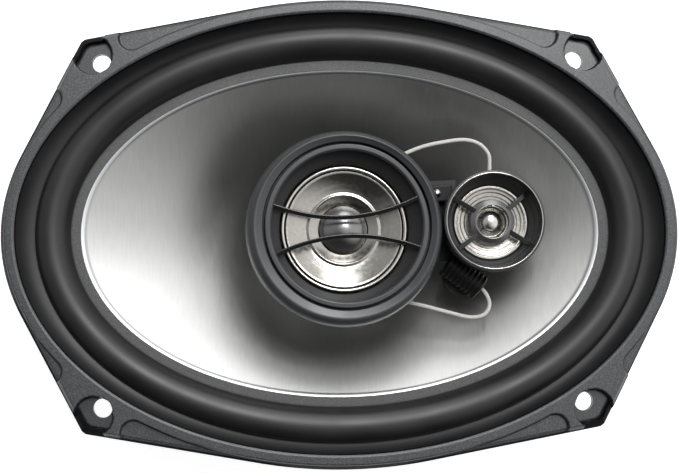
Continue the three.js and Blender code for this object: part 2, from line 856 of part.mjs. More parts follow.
function addMidDriver() {
  const t = midConeThickness;
  const chassisEdge = midInner - fitGap;
  const chassisTop = midConeRim - 1.3;
  addPiece(pods, 'mid_chassis', turned([
    [midCoilOuter + 1.6, midYokeTop + fitGap],
    [midYokeRadius + 1, midYokeTop + fitGap],
    [midBaffleInner + 0.7, chassisTop - 0.8],
    [chassisEdge, chassisTop - 0.8],
    [chassisEdge, chassisTop],
    [midBaffleInner + 0.3, chassisTop],
    [midYokeRadius + 0.6, midYokeTop + fitGap + midChassisLip],
    [midCoilOuter + 1.6, midYokeTop + fitGap + midChassisLip],
  ]), blackSteel);
  const surroundInner = midConeRadius + fitGap;
  const lipLow = chassisTop + 0.2;
  addPiece(pods, 'mid_surround', turned([
    [surroundInner, lipLow],
    [surroundInner + midSurroundWidth + 2, lipLow],
    [surroundInner + midSurroundWidth + 2, lipLow + 0.4],
    [surroundInner + midSurroundWidth, lipLow + 0.4],
    [surroundInner + midSurroundWidth * 0.7, midConeRim + 0.8],
    [surroundInner + midSurroundWidth * 0.3, midConeRim + 0.8],
    [surroundInner, midConeRim],
  ]), rubber);
  addPiece(pods, 'mid_baffle', turned([
    [midBaffleInner, lipLow + 0.7],
    [chassisEdge, lipLow + 0.7],
    [chassisEdge, midLedge],
    [midInner - fitGap - midGrilleWidth, midLedge],
    [midBaffleInner + 2.4, midConeRim + 1.8],
    [midBaffleInner, midConeRim + 0.9],
  ]), glossBlack);
  const ridge = midCoilOuter + 3.6;
  const ridgeHeight = midConeNeck + midConeDepth * 0.3;
  addPiece(pods, 'mid_cone', turned([
    [midCoilOuter + 0.2, midConeNeck],
    [ridge, ridgeHeight],
    [midConeRadius, midConeRim],
    [midConeRadius, midConeRim + t],
    [ridge, ridgeHeight + t],
    [midCoilOuter + 0.2, midConeNeck + t],
  ]), brightSilver);
  const capBase = midConeNeck + t + 0.2;
  addPiece(pods, 'mid_cap', dome(midCapRadius, midCapHeight, capBase), capGrey);
}

// A round-topped cap: an arc over a flat base.
function dome(radius, height, base) {
  const ball = (radius ** 2 + height ** 2) / (2 * height);
  const open = Math.asin(Math.min(1, radius / ball));
  const arcSteps = 5;
  const points = [[0, base], [radius, base]];
  for (let i = 0; i <= arcSteps; i += 1) {
    const angle = open * (1 - i / arcSteps);
    points.push([ball * Math.sin(angle), base + 0.4 + ball * Math.cos(angle) - ball * Math.cos(open)]);
  }
  points[points.length - 1][0] = 0;
  return turned(points, smallSteps);
}

// The grille: a ring with two opposed bowed bars across it.
function addMidGrille() {
  const outer = midInner - fitGap;
  const inner = outer - midGrilleWidth;
  const low = midLedge + fitGap;
  const high = low + midGrilleThickness;
  const ring = turned([[inner, low], [outer, low], [outer, high], [inner, high]]);
  const end = inner + midGrilleWidth / 2;
  const inside = disc(0, 0, end, low - 1, high + 1, podSteps);
  const bars = [-1, 1].map((side) => bowedBar(side, end, low, high).intersect(inside));
  addPiece(pods, 'mid_grille', joined([ring, ...bars]), glossBlack);
}

// One bar, nearest the centre at its middle and curving away towards the ring.
function bowedBar(side, reach, low, high) {
  const arcSteps = 10;
  const line = (offset) => {
    const points = [];
    for (let i = 0; i <= arcSteps; i += 1) {
      const x = reach * (2 * i / arcSteps - 1);
      const y = midBarGap / 2 + midBarSag * (x / reach) ** 2 + offset;
      points.push(new THREE.Vector2(x, side * y));
    }
    return points;
  };
  return plate([...line(0), ...line(midBarWidth).reverse()], low, high);
}

// ---------------------------------------------------------------- tweeter pod

function addTweeterHousing() {
  const seat = reflectorHeight;
  const well = tweeterYokeRadius + 0.7;
  const mouth = tweeterRadius - tweeterRimWidth;
  const floor = fitGap + tweeterFloor;
  const body = turned([
    [0, fitGap],
    [tweeterBaseRadius, fitGap],
    [tweeterBaseRadius, tweeterBaseHeight],
    [tweeterRadius, tweeterBaseHeight + 3.5],
    [tweeterRadius, tweeterHeight],
    [mouth, tweeterHeight],
    [mouth - 0.7, tweeterHeight - 3.8],
    [mouth - 2, tweeterHeight - 6.7],
    [reflectorRadius + fitGap, seat + 1.2],
    [reflectorRadius + fitGap, seat],
    [well, seat],
    [well, floor],
    [0, floor],
  ]);
  const holes = [-1, 1].map((side) => tweeterScrewHole(0, side, -1, 1.2));
  addPiece(tweeter, 'tweeter_housing', cut(body, holes), glossBlack);
  addPiece(tweeter, 'tweeter_rim', turned([
    [mouth, tweeterHeight + fitGap],
    [tweeterRadius, tweeterHeight + fitGap],
    [tweeterRadius, tweeterHeight + fitGap + tweeterRimThickness],
    [mouth, tweeterHeight + fitGap + tweeterRimThickness],
  ]), brightSilver);
  [-1, 1].forEach((side, i) => {
    const low = -bridgeThickness - fitGap;
    const y = side * tweeterScrewOffset;
    const shank = disc(0, y, tweeterScrewRadius, low - 1, 0.9);
    const head = disc(0, y, tweeterScrewHeadRadius, low - tweeterScrewHeadHeight, low);
    addPiece(tweeter, `tweeter_screw_${i + 1}`, shank.add(head), zincSteel);
  });
}

function addTweeterMotor() {
  const bottom = fitGap + tweeterFloor + fitGap;
  const floorTop = bottom + 1.2;
  const top = reflectorHeight - fitGap;
  const coilInner = domeRadius - tweeterCoilWall;
  const poleRim = coilInner - fitGap;
  addPiece(tweeter, 'tweeter_yoke', turned([
    [0, bottom],
    [tweeterYokeRadius, bottom],
    [tweeterYokeRadius, top],
    [domeRadius + runningGap, top],
    [domeRadius + runningGap, floorTop],
    [0, floorTop],
  ], smallSteps), zincSteel);
  const magnetLow = floorTop + 0.2;
  const plateLow = magnetLow + tweeterMagnetThickness + 0.2;
  const magnet = disc(0, 0, poleRim - 0.2, magnetLow, magnetLow + tweeterMagnetThickness);
  addPiece(tweeter, 'tweeter_magnet', magnet, zincSteel);
  const topPlate = disc(0, 0, poleRim, plateLow, plateLow + tweeterPlateThickness);
  addPiece(tweeter, 'tweeter_top_plate', topPlate, zincSteel);
  addPiece(tweeter, 'tweeter_coil', turned([
    [coilInner, floorTop + 1],
    [domeRadius, floorTop + 1],
    [domeRadius, top + 0.1],
    [coilInner, top + 0.1],
  ], smallSteps), copper);
}

function addTweeterDriver() {
  const seat = reflectorHeight + fitGap;
  const t = reflectorThickness;
  const innerEdge = domeRadius + domeSurroundWidth + 2 * fitGap;
  const stepWidth = (reflectorRadius - innerEdge) / 3;
  addPiece(tweeter, 'tweeter_reflector', turned([
    [innerEdge, seat],
    [reflectorRadius, seat],
    [reflectorRadius, seat + t + 0.9],
    [reflectorRadius - 0.8, seat + t + 0.9],
    [innerEdge + 2 * stepWidth, seat + t + 0.4],
    [innerEdge + stepWidth, seat + t + 0.1],
    [innerEdge, seat + t],
  ]), brightSilver);
  addPiece(tweeter, 'tweeter_surround', turned([
    [domeRadius + fitGap, seat],
    [domeRadius + fitGap + domeSurroundWidth, seat],
    [domeRadius + fitGap + domeSurroundWidth * 0.8, seat + 0.8],
    [domeRadius + fitGap + domeSurroundWidth * 0.2, seat + 0.8],
  ], smallSteps), brightSilver);
  addPiece(tweeter, 'tweeter_dome', dome(domeRadius, domeHeight, seat - fitGap + 0.2), brightSilver);
}

function addTweeterGuard() {
  const low = hubHeight;
  const high = hubHeight + hubThickness;
  const ring = turned([
    [hubInnerRadius, low],
    [hubOuterRadius, low],
    [hubOuterRadius, high],
    [hubInnerRadius, high],
  ]);
  const inner = hubOuterRadius - 0.6;
  const outer = tweeterRadius - tweeterRimWidth - 1.5;
  const spokes = spokeAngles.map((degrees) => {
    const geometry = new THREE.BoxGeometry(outer - inner, spokeWidth, hubThickness);
    geometry.translate((outer + inner) / 2, 0, (low + high) / 2);
    geometry.rotateZ(THREE.MathUtils.degToRad(degrees));
    return toSolid(geometry);
  });
  addPiece(tweeter, 'tweeter_guard', joined([ring, ...spokes]), glossBlack);
}

// ---------------------------------------------------------------- filter parts and leads

function addFilterParts() {
  const geometry = new THREE.CylinderGeometry(capacitorRadius, capacitorRadius, capacitorLength, smallSteps);
  geometry.rotateZ(Math.PI / 2);
  geometry.rotateZ(THREE.MathUtils.degToRad(capacitorAngle));
  geometry.translate(capacitorPlace.x, capacitorPlace.y, capacitorRadius + fitGap);
  addPiece(pods, 'tweeter_capacitor', toSolid(geometry), shrinkSleeve);
  addPiece(pods, 'solder_block', box(solderBlock, solderPlace.x, solderPlace.y, fitGap), glossBlack);
  const blockTop = solderBlock.z + fitGap;
  const bead = disc(solderPlace.x - 1.5, solderPlace.y, solderScrewRadius, blockTop + fitGap, blockTop + 1.3);
  addPiece(pods, 'solder_screw', bead, zincSteel);
}

// Leads that arch from the midrange pod to the tweeter pod.
const upperLead = [
  [19.6, 23.6, 4.6], [22.6, 25.6, 5.4], [29.4, 28.0, 6.2], [36.2, 29.2, 6.6],
  [44.2, 29.8, 6.6], [49.6, 28.2, 6.4], [52.8, 24.6, 6.0], [53.2, 20.4, 5.2], [52.6, 15.2, 4.4],
];
const lowerLead = [
  [18.8, -24.2, 4.6], [21.8, -26.0, 5.0], [28.2, -28.0, 5.6], [35.6, -30.4, 6.0],
  [42.6, -32.4, 6.2], [47.6, -31.8, 6.2], [49.8, -28.8, 6.0], [49.4, -25.5, 5.6], [47.8, -22.8, 5.2],
];

// Rear leads from the terminal strip, up through a window and along to the cone.
const tinselLead = [
  [8.6, -55.2, 41.2], [8.8, -58.4, 42.6], [9, -60.2, 46], [8.8, -58.4, 50.2],
  [8.2, -52, 53.6], [7.4, -42, 54.4], [6.6, -31, 52.6], [6, -24.4, 52.4], [6, -22, 53.4],
];

function addLeads() {
  addPiece(pods, 'upper_pod_lead', cord(upperLead, leadRadius), braid);
  addPiece(pods, 'lower_pod_lead', cord(lowerLead, leadRadius), braid);
  addPiece(speaker, 'rear_lead_right', cord(tinselLead, tinselRadius), braid);
  addPiece(speaker, 'rear_lead_left', cord(tinselLead.map(([x, y, z]) => [-x, y, z]), tinselRadius), braid);
}

function addTerminals() {
  const bottom = terminalTop - terminalBlock.z;
  const middle = terminalFace - terminalBlock.y / 2;
  const front = terminalFace - terminalBlock.y;
  const holes = terminalRivetXs.map((x) => (
    terminalRivet(x, terminalRivetRadius + fitGap, terminalFace + 1, front - 1)));
  addPiece(speaker, 'terminal_block', cut(box(terminalBlock, 0, middle, bottom), holes), fibre);
  terminalRivetXs.forEach((x, i) => {
    addPiece(speaker, `terminal_rivet_${i + 1}`,
      terminalRivet(x, terminalRivetRadius, terminalRivetInner, terminalRivetOuter), zincSteel);
  });
  tabWidths.forEach((width, i) => {
    const side = i === 0 ? 1 : -1;
    const face = front - fitGap - tabThickness / 2;
    const size = { x: width, y: tabThickness, z: tabLength };
    addPiece(speaker, i === 0 ? 'positive_tab' : 'negative_tab',
      box(size, side * terminalSpacing / 4, face, terminalTop - 1 - tabLength), brass);
  });
}

addBasket();
addTrim();
addMotor();
addSurround();
addCone();
addCoil();
addSpider();
addPost();
addBridge();
addMidHousing();
addMidMotor();
addMidDriver();
addMidGrille();
addTweeterHousing();
addTweeterMotor();
addTweeterDriver();
addTweeterGuard();
addFilterParts();
addLeads();
addTerminals();

export default speaker;
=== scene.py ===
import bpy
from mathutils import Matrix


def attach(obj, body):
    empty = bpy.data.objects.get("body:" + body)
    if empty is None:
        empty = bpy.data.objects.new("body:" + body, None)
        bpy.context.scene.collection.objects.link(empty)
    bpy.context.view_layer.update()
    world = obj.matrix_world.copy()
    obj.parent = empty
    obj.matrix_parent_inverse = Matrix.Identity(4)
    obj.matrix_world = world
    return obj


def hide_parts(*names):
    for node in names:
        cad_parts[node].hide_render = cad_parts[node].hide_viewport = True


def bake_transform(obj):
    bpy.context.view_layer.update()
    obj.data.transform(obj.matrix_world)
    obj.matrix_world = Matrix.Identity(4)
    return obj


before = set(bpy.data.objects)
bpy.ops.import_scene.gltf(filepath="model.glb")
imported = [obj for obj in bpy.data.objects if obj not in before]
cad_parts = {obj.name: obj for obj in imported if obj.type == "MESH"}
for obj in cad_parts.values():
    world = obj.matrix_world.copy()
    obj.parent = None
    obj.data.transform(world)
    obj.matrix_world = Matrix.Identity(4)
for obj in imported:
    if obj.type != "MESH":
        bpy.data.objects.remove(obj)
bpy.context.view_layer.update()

import math

import bpy
import numpy as np
from mathutils import Matrix, Vector

mm = 0.001  # every dictionary below is in millimetres
print("frame in:", len(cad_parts), "CAD nodes")


# the camera: a point out in front of the cone, a little above and to the right of its axis
viewpoint = {
    "front": 84.0,          # height that the distance is counted from
    "distance": 500.0,
    "aside": (19.2, -3.38),
    "tilt": -4.66,          # degrees about X, then Y, then Z
    "swing": 1.87,
    "roll": 0.77,
    "lens": 75.6,
    "shift": (0.077, -0.022),
}


# a turn about one axis, as the usual 3 by 3 table of cosines and sines
def turnAbout(axis, degrees):
    c, s = math.cos(math.radians(degrees)), math.sin(math.radians(degrees))
    table = {"x": [[1, 0, 0], [0, c, -s], [0, s, c]],
             "y": [[c, 0, s], [0, 1, 0], [-s, 0, c]],
             "z": [[c, -s, 0], [s, c, 0], [0, 0, 1]]}
    return np.array(table[axis], float)


def setCamera():
    v = viewpoint
    turn = turnAbout("z", v["roll"]) @ turnAbout("x", v["tilt"]) @ turnAbout("y", v["swing"])
    place = turn.T @ np.array([-v["aside"][0], -v["aside"][1], v["distance"]]) + [0, 0, v["front"]]
    data = bpy.data.cameras.new("frontCamera")
    data.lens = v["lens"]
    data.shift_x, data.shift_y = v["shift"]
    data.clip_start, data.clip_end = 0.01, 20
    camera = bpy.data.objects.new("frontCamera", data)
    bpy.context.scene.collection.objects.link(camera)
    whole = np.eye(4)
    whole[:3, :3] = turn.T
    whole[:3, 3] = place * mm
    camera.matrix_world = Matrix(whole.tolist())
    bpy.context.scene.camera = camera


setCamera()
print("camera set")


# quads between neighbouring rows of a grid whose columns run round; "loop" joins the last row
# to the first, "caps" closes both ends with a fan to the middle of the end row
def gridSurface(grid, ends="loop"):
    rows, columns = grid.shape[:2]
    points = grid.reshape(-1, 3)
    row = np.arange(rows if ends == "loop" else rows - 1)[:, None]
    column = np.arange(columns)[None, :]
    nextRow, nextColumn = (row + 1) % rows, (column + 1) % columns
    quads = np.stack([row * columns + column, row * columns + nextColumn,
                      nextRow * columns + nextColumn, nextRow * columns + column], -1).reshape(-1, 4)
    triangles = np.zeros((0, 3), int)
    if ends == "caps":
        count = len(points)
        points = np.vstack([points, grid[0].mean(0), grid[-1].mean(0)])
        first = np.arange(columns)
        after = (first + 1) % columns
        last = (rows - 1) * columns
        startFan = np.stack([np.full(columns, count), after, first], -1)
        endFan = np.stack([np.full(columns, count + 1), last + first, last + after], -1)
        triangles = np.vstack([startFan, endFan])
    return points, quads, triangles


# several surfaces as one
def together(*surfaces):
    points, quads, triangles, start = [], [], [], 0
    for p, q, t in surfaces:
        points.append(p)
        quads.append(q + start)
        triangles.append(t + start)
        start += len(p)
    return np.vstack(points), np.vstack(quads), np.vstack(triangles)


# each corner of a section becomes a short curve, corner (1-s)^2 and s^2 shares of its two ends,
# with one more row a little way along each side so that flat faces shade flat
def softSection(corners, radius=0.3, closed=True, steps=4):
    corners = np.array(corners, float)
    radius = np.broadcast_to(np.array(radius, float), len(corners)).copy()
    if not closed:
        radius[[0, -1]] = 0
    toBefore, toAfter = np.roll(corners, 1, 0) - corners, np.roll(corners, -1, 0) - corners
    before = np.maximum(np.hypot(toBefore[:, 0], toBefore[:, 2]), 1e-9)[:, None]
    after = np.maximum(np.hypot(toAfter[:, 0], toAfter[:, 2]), 1e-9)[:, None]
    reach = np.minimum(radius[:, None], 0.36 * np.minimum(before, after))
    start, end = corners + toBefore / before * reach, corners + toAfter / after * reach
    s = np.linspace(0, 1, steps)[None, :, None]
    curve = start[:, None] * (1 - s) ** 2 + 2 * corners[:, None] * s * (1 - s) + end[:, None] * s ** 2
    lead = corners + toBefore / before * reach * 1.35
    trail = corners + toAfter / after * reach * 1.35
    rows = np.concatenate([lead[:, None], curve, trail[:, None]], 1).reshape(-1, 3)
    apart = np.linalg.norm(rows - np.roll(rows, 1, 0), axis=1) > 1e-5
    if not closed:
        apart[0] = True
    return rows[apart]


# a round section: pairs of radius and height
def roundSection(pairs, radius=0.3, closed=True, steps=4):
    pairs = np.array(pairs, float)
    return softSection(np.column_stack([pairs[:, 0], pairs[:, 0], pairs[:, 1]]), radius, closed, steps)


# a section of x radius, y radius and height rows, turned: x = rx cos a, y = ry sin a.
# A section that starts and ends on the axis is closed there by a fan.
def turnedSurface(section, steps=96):
    angle = np.arange(steps) * 2 * np.pi / steps
    onAxis = section[:, 0] < 1e-6
    rows = section[~onAxis]
    grid = np.stack([rows[:, :1] * np.cos(angle), rows[:, 1:2] * np.sin(angle),
                     np.repeat(rows[:, 2:], steps, 1)], -1)
    return gridSurface(grid, "caps" if onAxis.any() else "loop")


# radius and height pairs, their corners rounded, turned about Z
def turned(pairs, radius=0.3, steps=128, closed=True, curve=4):
    return turnedSurface(roundSection(pairs, radius, closed, curve), steps)


# a plain ring or tube between two radii and two heights
def tube(inner, outer, low, high, radius=0.1, steps=96):
    return turned([(inner, low), (outer, low), (outer, high), (inner, high)], radius, steps)


def shifted(surface, x=0.0, y=0.0, z=0.0, degrees=0.0):
    points, quads, triangles = surface
    return points @ turnAbout("z", degrees).T + [x, y, z], quads, triangles


# the small drivers stand on the bridge, in a frame lifted and twisted a little
podFrame = {"lift": 80.0, "twist": 2.3, "spacing": 51.6}


def onPods(surface):
    return shifted(shifted(surface, z=podFrame["lift"]), degrees=podFrame["twist"])


def onTweeter(surface):
    return onPods(shifted(surface, x=podFrame["spacing"]))


# six times the volume inside, from triple products; below zero the faces point inwards
def signedVolume(points, quads, triangles):
    corners = np.vstack([quads[:, [0, 1, 2]], quads[:, [0, 2, 3]], triangles])
    a, b, c = points[corners[:, 0]], points[corners[:, 1]], points[corners[:, 2]]
    return float(np.einsum("ij,ij->i", a, np.cross(b, c)).sum())


def meshObject(name, surface):
    points, quads, triangles = surface
    if signedVolume(points, quads, triangles) < 0:
        quads, triangles = quads[:, ::-1], triangles[:, ::-1]
    mesh = bpy.data.meshes.new(name)
    mesh.from_pydata((points * mm).tolist(), [], quads.tolist() + triangles.tolist())
    mesh.update()
    thing = bpy.data.objects.new(name, mesh)
    bpy.context.scene.collection.objects.link(thing)
    return thing


def smoothFaces(piece, degrees):
    piece.data.shade_smooth()
    piece.data.set_sharp_from_angle(angle=math.radians(degrees))


# a finished piece: its mesh, its look out of the finishes below, the body it rides on and the
# CAD nodes it stands for
def addPiece(name, surface, look, nodes, body="frame", crease=38):
    piece = meshObject(name, surface) if isinstance(surface, tuple) else surface
    piece.name = name
    smoothFaces(piece, crease)
    piece.data.materials.clear()
    piece.data.materials.append(finishes[look])
    if body:
        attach(piece, body)
    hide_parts(*nodes)
    return piece


# 0 up to low and 1 from high, with the cubic t^2 (3 - 2 t) between them
def smoothStep(value, low, high):
    t = np.clip((value - low) / (high - low), 0, 1)
    return t * t * (3 - 2 * t)


# one value at each point, for the materials to read
def writeShare(piece, name, values):
    piece.data.attributes.new(name, "FLOAT", "POINT").data.foreach_set("value", values.astype(np.float32))


# x and y of each point, in millimetres
def pointPlaces(piece):
    place = np.zeros(len(piece.data.vertices) * 3)
    piece.data.vertices.foreach_get("co", place)
    return place.reshape(-1, 3)[:, :2].T / mm


# a plain round post, mostly to cut holes with
def pillar(x, y, radius, bottom, top, steps=48):
    post = turned([(0, bottom), (radius, bottom), (radius, top), (0, top)], 0.0, steps, False)
    return shifted(post, x=x, y=y)


# cut or join closed meshes; the result stays on the first one
def combine(piece, other, operation):
    change = piece.modifiers.new("shape", "BOOLEAN")
    change.operation = operation
    change.solver = "MANIFOLD"
    change.object = other
    graph = bpy.context.evaluated_depsgraph_get()
    mesh = bpy.data.meshes.new_from_object(piece.evaluated_get(graph))
    piece.modifiers.clear()
    piece.data = mesh
    bpy.data.objects.remove(other)
    return piece


# a new finish: its material, node tree and main shader
def newFinish(name, color, roughness, metallic=0.0, specular=0.5):
    look = bpy.data.materials.new(name)
    look.use_nodes = True
    shader = look.node_tree.nodes["Principled BSDF"]
    shader.inputs["Base Color"].default_value = (*color, 1)
    shader.inputs["Roughness"].default_value = roughness
    shader.inputs["Metallic"].default_value = metallic
    shader.inputs["Specular IOR Level"].default_value = specular
    return look, look.node_tree, shader


def node(tree, kind, **settings):
    made = tree.nodes.new("ShaderNode" + kind)
    for key, value in settings.items():
        setattr(made, key, value)
    return made


def feed(shader, socket, source):
    shader.id_data.links.new(source, shader.inputs[socket])


# how much of a point attribute there is, from 0 to 1
def shareOf(tree, name):
    return node(tree, "Attribute", attribute_name=name).outputs["Fac"]


# first color where the share is 0, second where it is 1; each a color or an output
def mixTones(tree, share, first, second):
    tones = node(tree, "Mix", data_type="RGBA")
    tree.links.new(share, tones.inputs["Factor"])
    for socket, tone in zip((tones.inputs[6], tones.inputs[7]), (first, second)):
        if isinstance(tone, tuple):
            socket.default_value = (*tone, 1)
        else:
            tree.links.new(tone, socket)
    return tones.outputs[2]


# object coordinates in millimetres over a grain's size in each direction
def grainCoordinates(tree, size):
    place = node(tree, "TexCoord")
    mapping = node(tree, "Mapping", vector_type="POINT")
    mapping.inputs["Scale"].default_value = [1000 / s for s in np.broadcast_to(size, 3)]
    tree.links.new(place.outputs["Object"], mapping.inputs["Vector"])
    return mapping.outputs["Vector"]


def noise(tree, size, detail=3.0, rough=0.55):
    made = node(tree, "TexNoise")
    made.inputs["Scale"].default_value = 1.0
    made.inputs["Detail"].default_value = detail
    made.inputs["Roughness"].default_value = rough
    tree.links.new(grainCoordinates(tree, size), made.inputs["Vector"])
    return made.outputs["Fac"]


def ramp(tree, source, stops):
    made = node(tree, "ValToRGB")
    elements = made.color_ramp.elements
    while len(elements) < len(stops):
        elements.new(0.5)
    for element, (place, color) in zip(elements, stops):
        element.position = place
        element.color = (*color, 1)
    tree.links.new(source, made.inputs["Fac"])
    return made.outputs["Color"]


def remap(tree, source, low, high, newLow, newHigh):
    made = node(tree, "MapRange")
    for name, value in (("From Min", low), ("From Max", high), ("To Min", newLow), ("To Max", newHigh)):
        made.inputs[name].default_value = value
    tree.links.new(source, made.inputs["Value"])
    return made.outputs["Result"]


def maths(tree, operation, first, second):
    made = node(tree, "Math", operation=operation)
    for socket, value in zip(made.inputs, (first, second)):
        if isinstance(value, (int, float)):
            socket.default_value = value
        else:
            tree.links.new(value, socket)
    return made.outputs["Value"]


def addBump(tree, shader, height, depth):
    bump = node(tree, "Bump")
    bump.inputs["Distance"].default_value = depth * mm
    tree.links.new(height, bump.inputs["Height"])
    feed(shader, "Normal", bump.outputs["Normal"])


# moulded plastic or paint: a dark and a light tone over fine grain, uneven gloss, and bump
def grainedFinish(name, dark, light, roughness, grain, depth, speckle=(0.45, 0.7), metallic=0.0,
                  specular=0.5):
    look, tree, shader = newFinish(name, dark, roughness, metallic, specular)
    fine = noise(tree, grain, 4.0, 0.62)
    broad = noise(tree, 14.0, 2.0)
    feed(shader, "Base Color", ramp(tree, fine, [(speckle[0], dark), (speckle[1], light)]))
    feed(shader, "Roughness", remap(tree, broad, 0.3, 0.7, roughness - 0.05, roughness + 0.06))
    addBump(tree, shader, fine, depth)
    return look


def gray(value, tint=(1.0, 1.0, 1.0)):
    return tuple(value * t for t in tint)


blueTint = (0.94, 0.99, 1.08)
warmTint = (1.03, 1.0, 0.94)
coneTint = (1.0, 1.0, 0.985)


# trim plastic: speckled black grain, smooth on the low floors round the screw holes, and painted shade where
# the edge attribute says so: plain black with little sheen
def trimFinish():
    look, tree, shader = newFinish("speckledTrim", gray(0.03), 0.4)
    fine = noise(tree, 0.42, 3.0, 0.7)
    grain = ramp(tree, fine, [(0.4, gray(0.02, blueTint)), (0.54, gray(0.05, blueTint)),
                              (0.66, gray(0.12, blueTint))])
    # the edge attribute is painted shade: black colour and little sheen
    edge = shareOf(tree, "edge")
    feed(shader, "Base Color", mixTones(tree, edge, grain, (0.006, 0.006, 0.008)))
    feed(shader, "Specular IOR Level", remap(tree, edge, 0.0, 1.0, 0.9, 0.12))
    place = node(tree, "TexCoord")
    split = node(tree, "SeparateXYZ")
    tree.links.new(place.outputs["Object"], split.inputs["Vector"])
    raised = remap(tree, split.outputs["Z"], 0.0829, 0.0834, 0.06, 1.0)  # metres, just above the floors
    broad = noise(tree, 9.0, 2.0)
    feed(shader, "Roughness", maths(tree, "ADD", remap(tree, broad, 0.3, 0.7, 0.29, 0.34),
                                    maths(tree, "MULTIPLY", raised, 0.08)))
    addBump(tree, shader, maths(tree, "MULTIPLY", fine, raised), 0.05)
    return look


# satin rubber with a faint moulding haze; the lip glued to the cone is greyer and grained, and the gutter
# under the trim loses its sheen: painted shade where the trim shades it
def rubberFinish():
    look, tree, shader = newFinish("satinRubber", gray(0.016), 0.36, specular=0.65)
    haze = noise(tree, 22.0, 3.0)
    fine = noise(tree, 0.4, 3.0, 0.65)
    lip = shareOf(tree, "lip")
    smooth = ramp(tree, haze, [(0.3, gray(0.010)), (0.7, gray(0.017))])
    grained = ramp(tree, fine, [(0.35, gray(0.062)), (0.68, gray(0.14))])
    feed(shader, "Base Color", mixTones(tree, lip, smooth, grained))
    # painted shade: little sheen in the gutter under the trim
    feed(shader, "Specular IOR Level", remap(tree, shareOf(tree, "shadedGutter"), 0.0, 1.0, 0.6, 0.06))
    feed(shader, "Roughness", maths(tree, "ADD", remap(tree, haze, 0.3, 0.7, 0.35, 0.43),
                                    maths(tree, "MULTIPLY", lip, 0.16)))
    rougher = maths(tree, "ADD", maths(tree, "MULTIPLY", lip, 4.0), 1.0)
    addBump(tree, shader, maths(tree, "MULTIPLY", fine, rougher), 0.012)
    return look


# cone: silver lacquer with a very fine grain along Y, and a painted highlight on the band at its rim: a
# brighter colour there
def coneFinish():
    look, tree, shader = newFinish("satinSilverCone", gray(0.5), 0.38, 1.0)
    grain = noise(tree, (0.4, 7.0, 4.0), 3.0, 0.6)
    haze = noise(tree, 30.0, 2.0)
    lacquer = ramp(tree, grain, [(0.3, gray(0.46, coneTint)), (0.7, gray(0.51, coneTint))])
    # painted highlight: the band at the rim takes a brighter silver
    feed(shader, "Base Color", mixTones(tree, shareOf(tree, "highlightBand"), lacquer, (0.62, 0.63, 0.65)))
    feed(shader, "Roughness", maths(tree, "ADD", remap(tree, grain, 0.3, 0.7, 0.34, 0.38),
                                    remap(tree, haze, 0.3, 0.7, 0.0, 0.05)))
    addBump(tree, shader, grain, 0.006)
    return look


# polished metal with light polishing swirl
def polishedFinish(name, tone, roughness, tint=warmTint):
    look, tree, shader = newFinish(name, gray(tone, tint), roughness, 1.0)
    fine = noise(tree, 1.2, 3.0)
    feed(shader, "Base Color", ramp(tree, fine, [(0.3, gray(tone * 0.86, tint)), (0.7, gray(tone, tint))]))
    feed(shader, "Roughness", remap(tree, fine, 0.3, 0.7, roughness * 0.8, roughness * 1.25))
    addBump(tree, shader, fine, 0.01)
    return look


# wire wound side by side: ridges along Z, one for each turn
def windingFinish(name, tone, pitch):
    look, tree, shader = newFinish(name, tone, 0.32, 0.9)
    ridges = node(tree, "TexWave", bands_direction="Z")
    ridges.inputs["Scale"].default_value = 1 / (pitch * math.pi)
    ridges.inputs["Distortion"].default_value = 0.1
    tree.links.new(grainCoordinates(tree, 1.0), ridges.inputs["Vector"])
    feed(shader, "Base Color", ramp(tree, ridges.outputs["Fac"], [(0.1, gray(0.35, tone)), (0.6, tone)]))
    addBump(tree, shader, ridges.outputs["Fac"], 0.08)
    return look


# woven cloth: two crossed sets of threads
def clothFinish(name, dark, light, thread):
    look, tree, shader = newFinish(name, light, 0.9)
    place = grainCoordinates(tree, thread)
    waves = []
    for direction in ("X", "Y"):
        wave = node(tree, "TexWave", bands_direction=direction)
        wave.inputs["Scale"].default_value = 1 / math.pi
        wave.inputs["Distortion"].default_value = 0.4
        tree.links.new(place, wave.inputs["Vector"])
        waves.append(wave.outputs["Fac"])
    weave = maths(tree, "MULTIPLY", *waves)
    frayed = maths(tree, "MULTIPLY", weave, noise(tree, 2.2, 3.0))
    feed(shader, "Base Color", ramp(tree, frayed, [(0.02, dark), (0.4, light)]))
    addBump(tree, shader, weave, 0.12)
    return look


# twisted braid: diagonal rows of thread on the lead's own map
def braidFinish():
    look, tree, shader = newFinish("creamBraid", (0.9, 0.88, 0.82), 0.6)
    own = node(tree, "UVMap", uv_map="lead")
    wave = node(tree, "TexWave", bands_direction="DIAGONAL")
    wave.inputs["Scale"].default_value = 1.6
    wave.inputs["Distortion"].default_value = 0.6
    tree.links.new(own.outputs["UV"], wave.inputs["Vector"])
    feed(shader, "Base Color", ramp(tree, wave.outputs["Fac"], [(0.05, (0.6, 0.58, 0.52)),
                                                               (0.45, (0.97, 0.96, 0.92))]))
    fine = noise(tree, 0.18, 2.0)
    addBump(tree, shader, maths(tree, "ADD", wave.outputs["Fac"], fine), 0.08)
    return look


